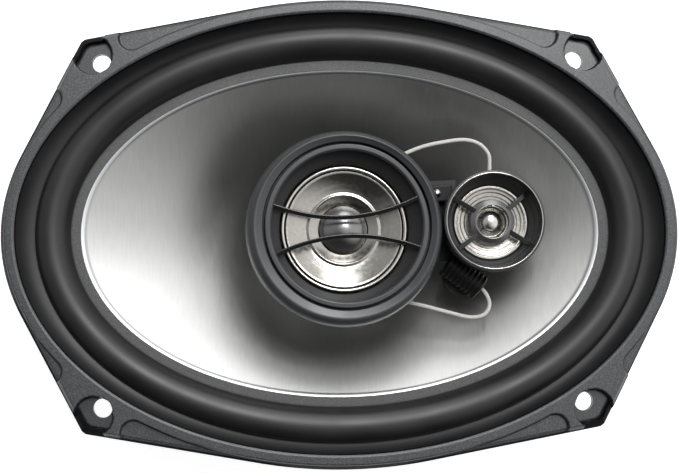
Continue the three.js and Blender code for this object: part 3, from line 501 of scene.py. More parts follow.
finishes = {
    "trim": trimFinish(),
    "steel": grainedFinish("blackSteel", gray(0.016, blueTint), gray(0.034, blueTint), 0.42, 0.7, 0.03),
    "rubber": rubberFinish(),
    "cone": coneFinish(),
    "bright": polishedFinish("polishedSilver", 0.8, 0.16),
    "midSilver": polishedFinish("warmSilver", 0.52, 0.2, (1.04, 1.0, 0.93)),
    "rim": polishedFinish("polishedRim", 0.9, 0.08),
    "bezel": grainedFinish("satinBezel", gray(0.03, blueTint), gray(0.045, blueTint), 0.36, 0.25, 0.008,
                           specular=0.75),
    "baffle": grainedFinish("satinBaffle", gray(0.012), gray(0.018), 0.4, 0.5, 0.006, specular=0.4),
    "bar": grainedFinish("smoothBlack", gray(0.012), gray(0.017), 0.24, 0.5, 0.004, specular=0.9),
    "hub": grainedFinish("smokedHub", gray(0.2), gray(0.25), 0.3, 0.3, 0.004, metallic=0.85),
    "cap": grainedFinish("smokedCap", gray(0.27), gray(0.32), 0.24, 0.3, 0.003, metallic=0.9),
    "ferrite": grainedFinish("ferrite", gray(0.03), gray(0.085), 0.7, 0.35, 0.05),
    "zinc": grainedFinish("zincSteel", gray(0.42, warmTint), gray(0.58, warmTint), 0.36, 2.6, 0.01,
                          (0.35, 0.65), metallic=0.9),
    "copper": windingFinish("copperWinding", (0.62, 0.28, 0.12), 0.3),
    "former": grainedFinish("amberFilm", (0.2, 0.09, 0.025), (0.27, 0.13, 0.04), 0.3, 3.0, 0.01),
    "spider": clothFinish("yellowCloth", (0.26, 0.17, 0.055), (0.62, 0.44, 0.17), 0.42),
    "felt": grainedFinish("darkFelt", gray(0.012), gray(0.05), 0.92, 0.2, 0.12),
    "braid": braidFinish(),
    "board": grainedFinish("fibreBoard", (0.07, 0.035, 0.016), (0.16, 0.085, 0.045), 0.7, 0.5, 0.03),
    "brass": grainedFinish("plainBrass", (0.5, 0.34, 0.11), (0.66, 0.47, 0.18), 0.28, 1.4, 0.01,
                           (0.35, 0.65), metallic=0.95),
    "sleeve": grainedFinish("shrinkSleeve", gray(0.007), gray(0.014), 0.4, 0.6, 0.03, specular=0.25),
}
print("finishes made:", len(finishes))


# leads that arch from the midrange pod to the tweeter pod, in the pods' own frame
podLeads = {
    "radius": 0.65, "strands": 5, "pitch": 3.4, "rows": 220, "columns": 20,
    "upper": [(19.6, 23.6, 4.6), (22.6, 25.6, 5.4), (29.4, 28.0, 6.2), (36.2, 29.2, 6.6),
              (44.2, 29.8, 6.6), (49.6, 28.2, 6.4), (52.8, 24.6, 6.0), (53.2, 20.4, 5.2),
              (52.6, 15.2, 4.4)],
    "lower": [(18.8, -24.2, 4.6), (21.8, -26.0, 5.0), (28.2, -28.0, 5.6), (35.6, -30.4, 6.0),
              (42.6, -32.4, 6.2), (47.6, -31.8, 6.2), (49.8, -28.8, 6.0), (49.4, -25.5, 5.6),
              (47.8, -22.8, 5.2)],
}

# rear leads from the terminal strip, through a window and along to the cone; the left one mirrored
rearLeads = {
    "radius": 0.8, "strands": 6, "pitch": 4.6, "rows": 220, "columns": 20,
    "moving": (0.3, 0.95),  # a stretch of its length, given as shares
    "points": [(8.6, -55.2, 41.2), (8.8, -58.4, 42.6), (9.0, -60.2, 46.0), (8.8, -58.4, 50.2),
               (8.2, -52.0, 53.6), (7.4, -42.0, 54.4), (6.6, -31.0, 52.6), (6.0, -24.4, 52.4),
               (6.0, -22.0, 53.4)],
}


# a smooth line through the points: each stretch is the cubic that leaves along the chord of its
# neighbours; then evened out along its length
def smoothLine(points, count):
    points = np.array(points, float)
    padded = np.vstack([2 * points[0] - points[1], points, 2 * points[-1] - points[-2]])
    t = np.linspace(0, len(points) - 1, 60 * len(points))
    k = np.minimum(t.astype(int), len(points) - 2)
    f = (t - k)[:, None]
    a, b, c, d = padded[k], padded[k + 1], padded[k + 2], padded[k + 3]
    line = 0.5 * (2 * b + (c - a) * f + (2 * a - 5 * b + 4 * c - d) * f ** 2
                  + (3 * b - a - 3 * c + d) * f ** 3)
    run = np.concatenate([[0], np.cumsum(np.linalg.norm(np.diff(line, axis=0), axis=1))])
    even = np.linspace(0, run[-1], count)
    return np.stack([np.interp(even, run, line[:, i]) for i in range(3)], -1), float(run[-1])


# twisted lead: radius = R (0.94 + 0.16 |cos(n/2 (angle - twist))|), carried along the line
def leadSurface(line, length, v, across):
    along = np.gradient(line, axis=0)
    along /= np.linalg.norm(along, axis=1)[:, None]
    side = np.cross(along, across)
    side /= np.linalg.norm(side, axis=1)[:, None]
    up = np.cross(side, along)
    angle = np.arange(v["columns"]) * 2 * np.pi / v["columns"]
    run = np.linspace(0, length, v["rows"])
    phase = v["strands"] / 2 * (angle[None, :] - 2 * np.pi * run[:, None] / v["pitch"])
    r = v["radius"] * (0.94 + 0.16 * np.abs(np.cos(phase)))
    grid = (line[:, None] + side[:, None] * (r * np.cos(angle))[..., None]
            + up[:, None] * (r * np.sin(angle))[..., None])
    return gridSurface(grid, "caps")


# the lead's own map: quarter turns round it, and millimetres along it
def mapLead(piece, rows, columns, length):
    around = np.concatenate([np.tile(np.arange(columns) / columns, rows), [0, 0]])
    run = np.concatenate([np.repeat(np.linspace(0, length, rows), columns), [0, length]])
    corners = np.zeros(len(piece.data.loops), int)
    piece.data.loops.foreach_get("vertex_index", corners)
    uv = piece.data.uv_layers.new(name="lead")
    uv.data.foreach_set("uv", np.column_stack([around[corners] * 4, run[corners]]).ravel())


def layLead(name, nodeName, line, length, v, across, body):
    piece = addPiece(name, leadSurface(line, length, v, across), "braid", [nodeName],
                     body, crease=60)
    mapLead(piece, v["rows"], v["columns"], length)
    return piece


def addPodLead(name, key, nodeName):
    v = podLeads
    line, length = smoothLine(v[key], v["rows"])
    line, _, _ = onPods((line, None, None))
    piece = layLead(name, nodeName, line, length, v, (0, 0, 1.0), "frame")


addPodLead("upperPodLead", "upper", "upper_pod_lead")
addPodLead("lowerPodLead", "lower", "lower_pod_lead")


def addRearLead(name, side, nodeName):
    v = rearLeads
    line, length = smoothLine(v["points"], v["rows"])
    piece = layLead(name, nodeName, line * [side, 1, 1], length, v, (1.0, 0, 0), None)
    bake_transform(piece)


addRearLead("rearLeadRight", 1, "rear_lead_right")
addRearLead("rearLeadLeft", -1, "rear_lead_left")
print("leads laid")


# the front outline: an oval with four screw lugs, each drawn to a blunt tip by two tangent lines
outline = {
    "oval": (119.5, 83.0),
    "lugAngle": 45.4, "lugReach": 12.3, "tip": 0.9,
    "holeBack": (7.0, 8.8), "holeRadius": 3.3,
    "lugDensity": 2.2, "lugSpread": 0.25,   # more columns near a lug, over so many radians
    "crowding": 0.06,                       # how much closer the rows stand at the ring's two sides
}


def grown(oval, distance):
    return np.array(oval, float) + distance


# on the oval x = a cos t, y = b sin t, and its outward direction (cos t / a, sin t / b)
def ovalPoint(oval, angle):
    angle = np.asarray(angle, float)
    point = np.stack([oval[0] * np.cos(angle), oval[1] * np.sin(angle)], -1)
    normal = np.stack([np.cos(angle) / oval[0], np.sin(angle) / oval[1]], -1)
    return point, normal / np.linalg.norm(normal, axis=-1)[..., None]


# where a lug's two edges would meet: out from the oval, square to it
def lugCorner(inset=0.0):
    point, normal = ovalPoint(outline["oval"], math.radians(outline["lugAngle"]))
    return point + normal * (outline["lugReach"] - 1.25 * inset)


# the two angles of an oval whose tangents pass through a point outside it: in the stretched plane
# (x/a, y/b) they lie acos(1 / distance) to either side of the point
def tangentAngles(oval, point):
    x, y = point[0] / oval[0], point[1] / oval[1]
    spread = math.acos(min(1.0, 1 / math.hypot(x, y)))
    return math.atan2(y, x) - spread, math.atan2(y, x) + spread


# one lug in the first quarter: corner, directions along its two edges, its three outer lines
def lugLines(inset):
    oval = grown(outline["oval"], -inset)
    corner = lugCorner(inset)
    low, high = tangentAngles(oval, corner)
    shortEdge = ovalPoint(oval, low)[0] - corner
    longEdge = ovalPoint(oval, high)[0] - corner
    shortEdge, longEdge = shortEdge / np.linalg.norm(shortEdge), longEdge / np.linalg.norm(longEdge)
    tip = corner + outline["tip"] * shortEdge, corner + outline["tip"] * longEdge
    across = tip[1] - tip[0]
    lines = [(corner, np.array([-shortEdge[1], shortEdge[0]])),
             (corner, np.array([longEdge[1], -longEdge[0]])),
             (tip[0], np.array([across[1], -across[0]]))]
    lines = [(p, n / np.linalg.norm(n) * np.sign(n @ p)) for p, n in lines]
    return corner, shortEdge, longEdge, low, high, lines


# columns round the front, closer together where the lugs are: 1 + D exp(-(angle off / spread)^4)
def frontAngles(columns):
    fine = np.linspace(0, 2 * np.pi, 20001)
    folded = np.arctan2(np.abs(np.sin(fine)), np.abs(np.cos(fine)))
    near = (folded - math.radians(outline["lugAngle"])) / outline["lugSpread"]
    density = 1 + outline["lugDensity"] * np.exp(-near ** 4)
    run = np.concatenate([[0], np.cumsum((density[1:] + density[:-1]) / 2)])
    return np.interp(np.arange(columns) * run[-1] / columns, run, fine)


# flat ring from an opening oval out to the outline: each column leaves the opening square to it.
# Rows up to the width keep their distance, the rest share what is left to the outline, closer
# together at its two ends.
def frontRing(opening, inset, columns, width, innerRows, outerRows):
    angle = frontAngles(columns)
    point, normal = ovalPoint(opening, angle)
    start, out = np.abs(point), np.abs(normal)
    oval = grown(outline["oval"], -inset)
    a, b = ((out / oval) ** 2).sum(1), (start * out / oval ** 2).sum(1)
    plain = (np.sqrt(b * b - a * (((start / oval) ** 2).sum(1) - 1)) - b) / a
    _, _, _, low, high, lines = lugLines(inset)
    reach = np.min([((p - start) @ n) / (out @ n) for p, n in lines], axis=0)
    meets = (start + out * plain[:, None]) / oval
    span = np.arctan2(meets[:, 1], meets[:, 0])
    reach = np.where((span > low) & (span < high), np.maximum(reach, plain), plain)
    inner = np.linspace(0, width, innerRows)[:, None] * np.ones(columns)
    share = np.linspace(0, 1, outerRows + 1)[1:, None]
    share = share - outline["crowding"] * np.sin(2 * np.pi * share)
    outer = width + (reach - width) * share
    distance = np.vstack([inner, outer])
    flat = point + normal * distance[..., None]
    return flat, distance, reach


# distance outside an oval, close to its edge: (k - 1) k / g, k = |(x/a, y/b)|, g = |(x/a^2, y/b^2)|
def ovalDistance(x, y, oval):
    k0 = np.hypot(x / oval[0], y / oval[1])
    k1 = np.maximum(np.hypot(x / oval[0] ** 2, y / oval[1] ** 2), 1e-9)
    return (k0 - 1) * k0 / k1


def screwHolePlace():
    return lugCorner() - outline["holeBack"]


def screwHoleCutters(bottom, top, radius):
    x, y = screwHolePlace()
    return [pillar(sx * x, sy * y, radius, bottom, top) for sx in (-1, 1) for sy in (-1, 1)]


# moulded trim: a raised oval ring, grained pockets along the sides and deep ones at the screws
trim = {
    "inset": 0.5,
    "ring": (118.0, 81.5),
    "bevel": (1.5, 1.6),      # how far in it starts, and how far it falls
    "opening": (114.2, 77.7),
    "bottom": 81.3,
    "floor": 82.7,
    "step": 84.2,
    "top": 86.0,
    "lip": 1.7,
    "sidePockets": ((53.0, -1), (33.1, 1)),
    "sidePocketRadius": 4.6,
    "lugPocketRadius": 6.8,
    "lugPocketForward": (3.0, 2.6),
    "lugPocketReach": (6.6, 8.5),
    "wallSlope": 0.55,        # how wide the pockets' walls are in plan
    "lipSlope": 0.25,
    "innerFall": (0.6, 0.35),  # the ring's inner edge: how wide, and how far it falls
    "wallStart": 0.4,
    # painted shade on the trim: a dark line at the foot of every pocket wall, the dark lip beyond each screw
    # and the dark outermost edge
    "shadeLineWidth": 0.34, "shadeLineDepth": 0.85, "shadeLineInside": 0.1,
    "shadedLip": 2.6, "lipBlur": 0.3, "wallBlur": 0.4, "shadedRim": (-0.7, -0.3),
    "columns": 1240, "rows": (3.5, 12, 36),   # width kept from the opening, rows in it, rows beyond
}


# below zero inside the side pockets: beyond the ring and past a line, or in the round end
def sidePocketDistance(x, y):
    v, found = trim, []
    for degrees, direction in v["sidePockets"]:
        point, normal = ovalPoint(v["ring"], math.radians(degrees))
        along = np.array([normal[1], -normal[0]]) * direction
        centre = point + normal * v["sidePocketRadius"]
        past = -((x - point[0]) * along[0] + (y - point[1]) * along[1])
        field = np.maximum(past, -ovalDistance(x, y, v["ring"]))
        found.append(np.minimum(field, np.hypot(x - centre[0], y - centre[1]) - v["sidePocketRadius"]))
    return np.minimum(*found)


# below zero inside the pocket round a screw: a disc, and a mouth that opens towards the corner
def lugPocketDistance(x, y):
    v = trim
    corner, shortEdge, longEdge, _, _, _ = lugLines(0.0)
    centre = screwHolePlace() + v["lugPocketForward"]
    short, long = v["lugPocketReach"]
    mouth = np.array([centre, corner + shortEdge * short,
                      corner * (1 + 2 / np.linalg.norm(corner)), corner + longEdge * long])
    edge = np.roll(mouth, -1, 0) - mouth
    out = np.stack([edge[:, 1], -edge[:, 0]], -1) / np.linalg.norm(edge, axis=1)[:, None]
    sides = [(x - p[0]) * n[0] + (y - p[1]) * n[1] for p, n in zip(mouth, out)]
    return np.minimum(np.max(sides, axis=0), np.hypot(x - centre[0], y - centre[1]) - v["lugPocketRadius"])


# how far outside the lug's own lines
def lugEdgeDistance(x, y, inset):
    _, _, _, _, _, lines = lugLines(inset)
    return np.max([(x - p[0]) * n[0] + (y - p[1]) * n[1] for p, n in lines], axis=0)


# the lowest of the side pockets' and the screws' steps at each point, less what the bevel and the
# inner edge fall: each fall runs straight from 0 to its full depth at the edge
def trimHeights(flat, distance, reach):
    v = trim
    x, y = np.abs(flat[..., 0]), np.abs(flat[..., 1])
    half, top = v["wallSlope"] / 2, v["top"]
    side = v["step"] + (top - v["step"]) * smoothStep(sidePocketDistance(x, y), -half, half)
    lip = lugEdgeDistance(x, y, v["inset"] + v["lip"])
    low = v["floor"] + (v["step"] - v["floor"]) * smoothStep(lip, -v["lipSlope"], v["lipSlope"])
    lug = low + (top - low) * smoothStep(lugPocketDistance(x, y), -half, half)
    height = np.minimum(side, lug)
    width, fall = v["bevel"]
    share = (height - v["bottom"]) / (top - v["bottom"])
    height -= fall * np.clip(1 - (reach - distance) / width, 0, 1) * share
    width, fall = v["innerFall"]
    return height - fall * np.clip(1 - distance / width, 0, 1)


# painted shade on the trim, drawn black: a thin line along every pocket wall, the lip beyond each screw and
# the outermost edge
def writePaintedShade(ring):
    v = trim
    x, y = np.abs(pointPlaces(ring))
    side, lug = sidePocketDistance(x, y), lugPocketDistance(x, y)
    off = np.minimum(np.abs(side + v["shadeLineInside"]), np.abs(lug + v["shadeLineInside"]))
    line = np.exp(-(off / v["shadeLineWidth"]) ** 2)
    lip = smoothStep(lugEdgeDistance(x, y, v["inset"] + v["shadedLip"]), -v["lipBlur"], v["lipBlur"])
    lip = lip * smoothStep(-lug, 0, v["wallBlur"])
    rim = smoothStep(ovalDistance(x, y, grown(outline["oval"], -v["inset"])), *v["shadedRim"])
    rim = np.minimum(rim, smoothStep(lugEdgeDistance(x, y, v["inset"]), *v["shadedRim"]))
    writeShare(ring, "edge", np.maximum(np.maximum(line * v["shadeLineDepth"], lip), rim))


def addTrim():
    v = trim
    flat, distance, reach = frontRing(v["opening"], v["inset"], v["columns"], *v["rows"])
    upper = np.dstack([flat, trimHeights(flat, distance, reach)])
    foot = np.dstack([flat[[-1, 0]], np.full((2, v["columns"]), v["bottom"])])
    shoulder = upper[[-1, 0]] - [0, 0, v["wallStart"]]
    grid = np.vstack([upper, shoulder[:1], foot, shoulder[1:]])
    ring = meshObject("trimRing", gridSurface(grid))
    cutters = screwHoleCutters(v["bottom"] - 2, v["top"] + 2, outline["holeRadius"])
    combine(ring, meshObject("holes", together(*cutters)), "DIFFERENCE")
    writePaintedShade(ring)
    addPiece("trimRing", ring, "trim", ["trim_ring"], crease=50)


addTrim()
print("trim made")


# pressed steel basket: seat, slope with eight windows, wall and flange
basket = {
    "seatBore": 15.8, "seatRadius": 46.0, "seat": 27.3,
    "ledgeRadius": 50.0, "ledgeWidth": 6.0, "ledge": 42.9,
    "shoulder": (107.5, 73.8), "shoulderHeight": 66.0,
    "wall": (109.0, 75.3), "wallHeight": 70.0,
    "opening": (107.8, 74.1),
    "flange": 80.0, "thickness": 1.2,
    "arms": 8, "armWidth": 9.0, "windows": (45.6, 64.5), "windowCorner": 3.2,
    "windowReach": (30.0, 150.0), "windowSteps": (24, 32),
    "rivetCircle": 30.0, "rivetRadius": 2.0, "rivetGap": 0.3,
    "rounds": [0.2, 2.4, 1.6, 2.0, 3.0, 3.0, 0.1, 0.3, 2.4, 2.4, 1.6, 1.2, 1.8, 0.2],
    "columns": 240, "flangeColumns": 480, "flangeRows": (3.0, 2, 6), "flangeStart": 0.6,
    "flangeEdge": 0.25,
}


# one window: a rounded oblong whose width is the gap between two arms, carried out from the centre
def windowCutter(first, second):
    v = basket
    low, high = v["windows"]
    along, around = v["windowSteps"]
    rho = np.linspace(*v["windowReach"], along)[:, None]
    lines = []
    for angle, side in ((first, 1), (second, -1)):
        out = np.array([math.cos(angle), math.sin(angle)])
        aside = np.array([-math.sin(angle), math.cos(angle)])
        lines.append(out * rho + aside * side * v["armWidth"] / 2)
    gap = lines[1] - lines[0]
    width = np.linalg.norm(gap, axis=1)[:, None]
    across = gap / width
    middle = (lines[0] + lines[1]) / 2
    angle = np.linspace(0, 2 * np.pi, around, endpoint=False) + np.pi / around
    r = v["windowCorner"]
    u = np.sign(np.cos(angle)) * (width / 2 - r) + r * np.cos(angle)
    z = (low + high) / 2 + np.sign(np.sin(angle)) * ((high - low) / 2 - r) + r * np.sin(angle)
    plan = middle[:, None] + across[:, None] * u[..., None]
    grid = np.dstack([plan, np.broadcast_to(z, u.shape)])
    return gridSurface(grid, "caps")


def rivetPlaces():
    angle = np.pi / 4 + np.arange(4) * np.pi / 2
    return basket["rivetCircle"] * np.column_stack([np.cos(angle), np.sin(angle)])


def addBasket():
    v = basket
    t = v["thickness"]
    edge = v["ledgeRadius"] + v["ledgeWidth"]
    top = v["flange"] + t
    shoulder, wall, opening = v["shoulder"], v["wall"], v["opening"]
    section = softSection([
        (v["seatBore"], v["seatBore"], v["seat"]), (v["seatRadius"], v["seatRadius"], v["seat"]),
        (v["ledgeRadius"], v["ledgeRadius"], v["ledge"]), (edge, edge, v["ledge"]),
        (*shoulder, v["shoulderHeight"]), (*wall, v["wallHeight"]), (*wall, top),
        (*opening, top), (*opening, v["wallHeight"]), (*grown(shoulder, -t), v["shoulderHeight"] + t),
        (edge - t / 2, edge - t / 2, v["ledge"] + t),
        (v["ledgeRadius"] - t, v["ledgeRadius"] - t, v["ledge"] + t),
        (v["seatRadius"] - t, v["seatRadius"] - t, v["seat"] + t),
        (v["seatBore"], v["seatBore"], v["seat"] + t),
    ], v["rounds"])
    shell = meshObject("basket", turnedSurface(section, v["columns"]))
    start = grown(opening, v["flangeStart"])
    flat, distance, _ = frontRing(start, 0.0, v["flangeColumns"], *v["flangeRows"])
    high = np.dstack([flat, np.full(distance.shape, top)])
    high[-1, :, 2] -= v["flangeEdge"]
    low = np.dstack([flat[[-1, 0]], np.full((2, v["flangeColumns"]), v["flange"])])
    combine(shell, meshObject("flange", gridSurface(np.vstack([high, low]))), "UNION")
    arms = [math.atan2(shoulder[1] * math.sin(a), shoulder[0] * math.cos(a))
            for a in np.arange(v["arms"] + 1) * 2 * np.pi / v["arms"]]
    arms = np.unwrap(arms)
    cutters = [windowCutter(a, b) for a, b in zip(arms[:-1], arms[1:])]
    cutters += screwHoleCutters(v["flange"] - 2, top + 2, outline["holeRadius"])
    radius = v["rivetRadius"] + v["rivetGap"]
    cutters += [pillar(x, y, radius, v["seat"] - 2, v["seat"] + 4) for x, y in rivetPlaces()]
    combine(shell, meshObject("windows", together(*cutters)), "DIFFERENCE")
    addPiece("basketShell", shell, "steel", ["basket"], crease=32)


addBasket()
print("basket pressed")


# magnet motor behind the basket
motor = {
    "backRadius": 41.0, "backThickness": 5.0, "backChamfer": 1.2, "screwBore": 2.4, "headPocket": (4.4, 3.6),
    "magnetRadius": 45.0, "magnetBore": 22.0, "magnet": (5.1, 22.1),
    "frontPlate": (22.2, 27.2), "frontBore": 14.3, "poleRadius": 12.0, "poleTop": 28.0,
}


def addMotor():
    v = motor
    pocket, depth = v["headPocket"]
    radius, thickness, chamfer = v["backRadius"], v["backThickness"], v["backChamfer"]
    addPiece("backPlate", turned([
        (pocket, 0), (radius - chamfer, 0), (radius, chamfer), (radius, thickness),
        (v["poleRadius"], thickness), (v["poleRadius"], v["poleTop"]), (v["screwBore"], v["poleTop"]),
        (v["screwBore"], depth), (pocket, depth),
    ], 0.5), "zinc", ["back_plate_and_pole"])
    magnet = tube(v["magnetBore"], v["magnetRadius"], *v["magnet"], 0.9, 160)
    addPiece("ferriteMagnet", magnet, "ferrite", ["magnet"])
    low, high = v["frontPlate"]
    plate = meshObject("frontPlate", tube(v["frontBore"], v["backRadius"], low, high, 0.5, 128))
    places, r = rivetPlaces(), basket["rivetRadius"]
    holes = [pillar(x, y, r + basket["rivetGap"], low - 1, high + 1) for x, y in places]
    combine(plate, meshObject("rivetHoles", together(*holes)), "DIFFERENCE")
    addPiece("frontPlate", plate, "zinc", ["front_plate"])
    rivet = turned([(0, low + 0.3), (r, low + 0.3), (r, 28.6), (r + 1.5, 28.6), (r + 1.4, 29.4),
                    (r * 0.5, 30.05), (0, 30.1)], 0.35, 32, False)
    addPiece("basketRivets", together(*[shifted(rivet, x=x, y=y) for x, y in places]),
             "zinc", [f"basket_rivet_{i}" for i in (1, 2, 3, 4)])


addMotor()
print("motor made")


# rubber surround: a lip that rises to the trim, a half roll (height = H sin a over its width), and
# a flat lip on the cone's rim
surround = {
    "outer": (113.9, 77.4), "rollOuter": (107.3, 73.6), "rollInner": (95.3, 61.6), "inner": (91.6, 57.9),
    "outerHeight": 81.3, "innerHeight": 79.7, "rollHeight": 4.7, "thickness": 0.6, "lipRise": 2.4,
    "footDip": 0.14, "footWidth": 0.03,   # the roll dips a little at both feet
    "lipCurve": 1.5, "shadedGutterStart": 1.0, "rollRows": 30, "lipRows": 8, "steps": 360,
}


def addSurround():
    v = surround
    t = v["thickness"]
    arc = np.linspace(0, np.pi, v["rollRows"])
    share = (1 - np.cos(arc)) / 2
    rollX = v["rollInner"][0] + (v["rollOuter"][0] - v["rollInner"][0]) * share
    rollY = v["rollInner"][1] + (v["rollOuter"][1] - v["rollInner"][1]) * share
    base = v["innerHeight"] + (v["outerHeight"] - v["innerHeight"]) * share
    width = v["footWidth"]
    foot = v["footDip"] * (np.exp(-(share / width) ** 2) + np.exp(-((share - 1) / width) ** 2))
    rollZ = base + v["rollHeight"] * np.sin(arc) - foot
    lip = np.linspace(0, 1, v["lipRows"])[:, None]
    inner = np.array([*v["inner"], v["innerHeight"]])
    rollStart = np.array([rollX[0], rollY[0], v["innerHeight"]])
    outer = np.array([*v["outer"], v["outerHeight"]])
    rollEnd = np.array([rollX[-1], rollY[-1], v["outerHeight"]])
    rise = np.column_stack([lip * 0, lip * 0, v["lipRise"] * lip ** v["lipCurve"]])
    low = np.vstack([inner + (rollStart - inner) * lip[:-1], np.column_stack([rollX, rollY, rollZ]),
                     (rollEnd + (outer - rollEnd) * lip + rise)[1:]])
    high = low + [0, 0, t]
    section = np.vstack([low, high[::-1]])
    steps = v["steps"]
    piece = addPiece("surround", turnedSurface(section, steps), "rubber",
                     ["surround"], body=None, crease=42)
    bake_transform(piece)
    share = (v["rollOuter"][0] - section[:, 0]) / (v["rollOuter"][0] - v["rollInner"][0])
    writeShare(piece, "lip", np.repeat(smoothStep(v["rollInner"][0] - section[:, 0], 0.1, 0.5), steps))
    # painted shade: the gutter's sheen fades out towards the trim's edge
    shadedGutter = smoothStep(section[:, 0], v["rollOuter"][0] - v["shadedGutterStart"], v["outer"][0])
    writeShare(piece, "shadedGutter", np.repeat(shadedGutter, steps))


addSurround()


# oval cone on its round neck, with a raised band at the rim that carries a painted highlight, and a flange
# under the rubber lip
cone = {
    "neck": (13.1, 13.1), "oval": (91.3, 57.6), "neckHeight": 50.4, "depth": 28.4, "bulge": 1.2,
    "thickness": 0.8, "flange": 3.7, "rows": 34, "columns": 300,
    "highlightBand": (0.986, 0.15),   # share of the way out, and its rise
    "rimRows": (0.974, 0.983, 0.986, 0.989, 0.992, 0.997, 1.0),
    "eyelets": ((-6.0, -22.0), (6.0, -22.0)), "eyeletRadius": 1.5, "eyeletHeight": 57.2,
}


# cone: height = neck + depth s + 4 bulge s (1 - s), s the share of the way from neck to rim
def coneRows(share):
    v = cone
    neck, rim = np.array(v["neck"]), np.array(v["oval"])
    ring = neck + (rim - neck) * share[:, None]
    height = v["neckHeight"] + v["depth"] * share + 4 * v["bulge"] * share * (1 - share)
    return np.column_stack([ring, height])


# painted highlight: one on the band at the rim; near it the share is 1 + (k - 1) / slope, k = hypot(x/a, y/b)
def writeHighlightBand(shell):
    rim, gain = cone["oval"], np.array(cone["oval"]) - cone["neck"]
    x, y = pointPlaces(shell)
    k = np.hypot(x / rim[0], y / rim[1])
    slope = (x ** 2 * gain[0] / rim[0] ** 3 + y ** 2 * gain[1] / rim[1] ** 3) / k
    start = cone["highlightBand"][0]
    writeShare(shell, "highlightBand", smoothStep(1 + (k - 1) / slope, start - 0.002, start + 0.002))


def addCone():
    v = cone
    share = np.linspace(0, 1, v["rows"])
    rear = coneRows(share)
    start, rise = v["highlightBand"]
    rimRows = np.array(v["rimRows"])
    front = coneRows(np.append(share[share < 0.96], rimRows)) + [0, 0, v["thickness"]]
    front[-len(rimRows):, 2] += rise * smoothStep(rimRows, start - 0.003, start + 0.003)
    rimHeight = v["neckHeight"] + v["depth"]
    edge = np.array([*grown(v["oval"], v["flange"]), rimHeight])
    section = np.vstack([rear, edge, edge + [0, 0, v["thickness"]], front[::-1]])
    shell = meshObject("coneShell", turnedSurface(section, v["columns"]))
    holes = [pillar(x, y, v["eyeletRadius"] + 0.3, v["neckHeight"], rimHeight) for x, y in v["eyelets"]]
    combine(shell, meshObject("eyeletHoles", together(*holes)), "DIFFERENCE")
    writeHighlightBand(shell)
    addPiece("coneShell", shell, "cone", ["cone"], body="main_cone", crease=34)
    r, z = v["eyeletRadius"], v["eyeletHeight"]
    eyelet = turned([(r * 0.45, z - 1.4), (r, z - 1.4), (r, z + 1.1), (r * 0.85, z + 1.5),
                     (r * 0.45, z + 1.3)], 0.3, 28)
    for number, (x, y) in enumerate(v["eyelets"], 1):
        addPiece(f"coneEyelet{number}", shifted(eyelet, x=x, y=y), "brass",
                 [f"cone_eyelet_{number}"], "main_cone")


addCone()


# voice coil, dust ring and spider behind the cone
coil = {
    "former": (12.5, 12.8, 19.7, 51.7), "winding": (12.9, 13.6, 19.7, 29.7),
    "dustRing": (7.2, 12.8, 51.8, 52.8),
    "spider": (13.1, 50.0, 53.8), "spiderBase": 44.2, "wave": 1.2, "waves": 7, "cloth": 0.5,
    "flatLand": 3.0, "steps": 120,
}


# spider: height = base + wave (1 - cos(2 pi n share)) / 2 between its two flat lands
def addCoil():
    v = coil
    addPiece("coilFormer", tube(*v["former"], 0.05), "former", ["voice_coil_former"],
             "main_cone")
    addPiece("coilWinding", tube(*v["winding"], 0.2), "copper", ["voice_coil_winding"],
             "main_cone")
    addPiece("dustRing", tube(*v["dustRing"], 0.3, 64), "felt", ["dust_ring"], "main_cone")
    inner, landing, outer = v["spider"]
    land, steps = v["flatLand"], v["steps"]
    radius = np.linspace(inner, outer, 130)
    share = np.clip((radius - inner - land) / (landing - inner - 2 * land), 0, 1)
    height = v["spiderBase"] + v["wave"] * (1 - np.cos(2 * np.pi * v["waves"] * share)) / 2
    low = np.column_stack([radius, radius, height])
    section = np.vstack([low, (low + [0, 0, v["cloth"]])[::-1]])
    piece = addPiece("spiderCloth", turnedSurface(section, steps), "spider",
                     ["spider"], body=None, crease=50)
    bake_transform(piece)
    share = (landing - land - section[:, 0]) / (landing - inner - 2 * land)


addCoil()
print("cone, surround and coil made")


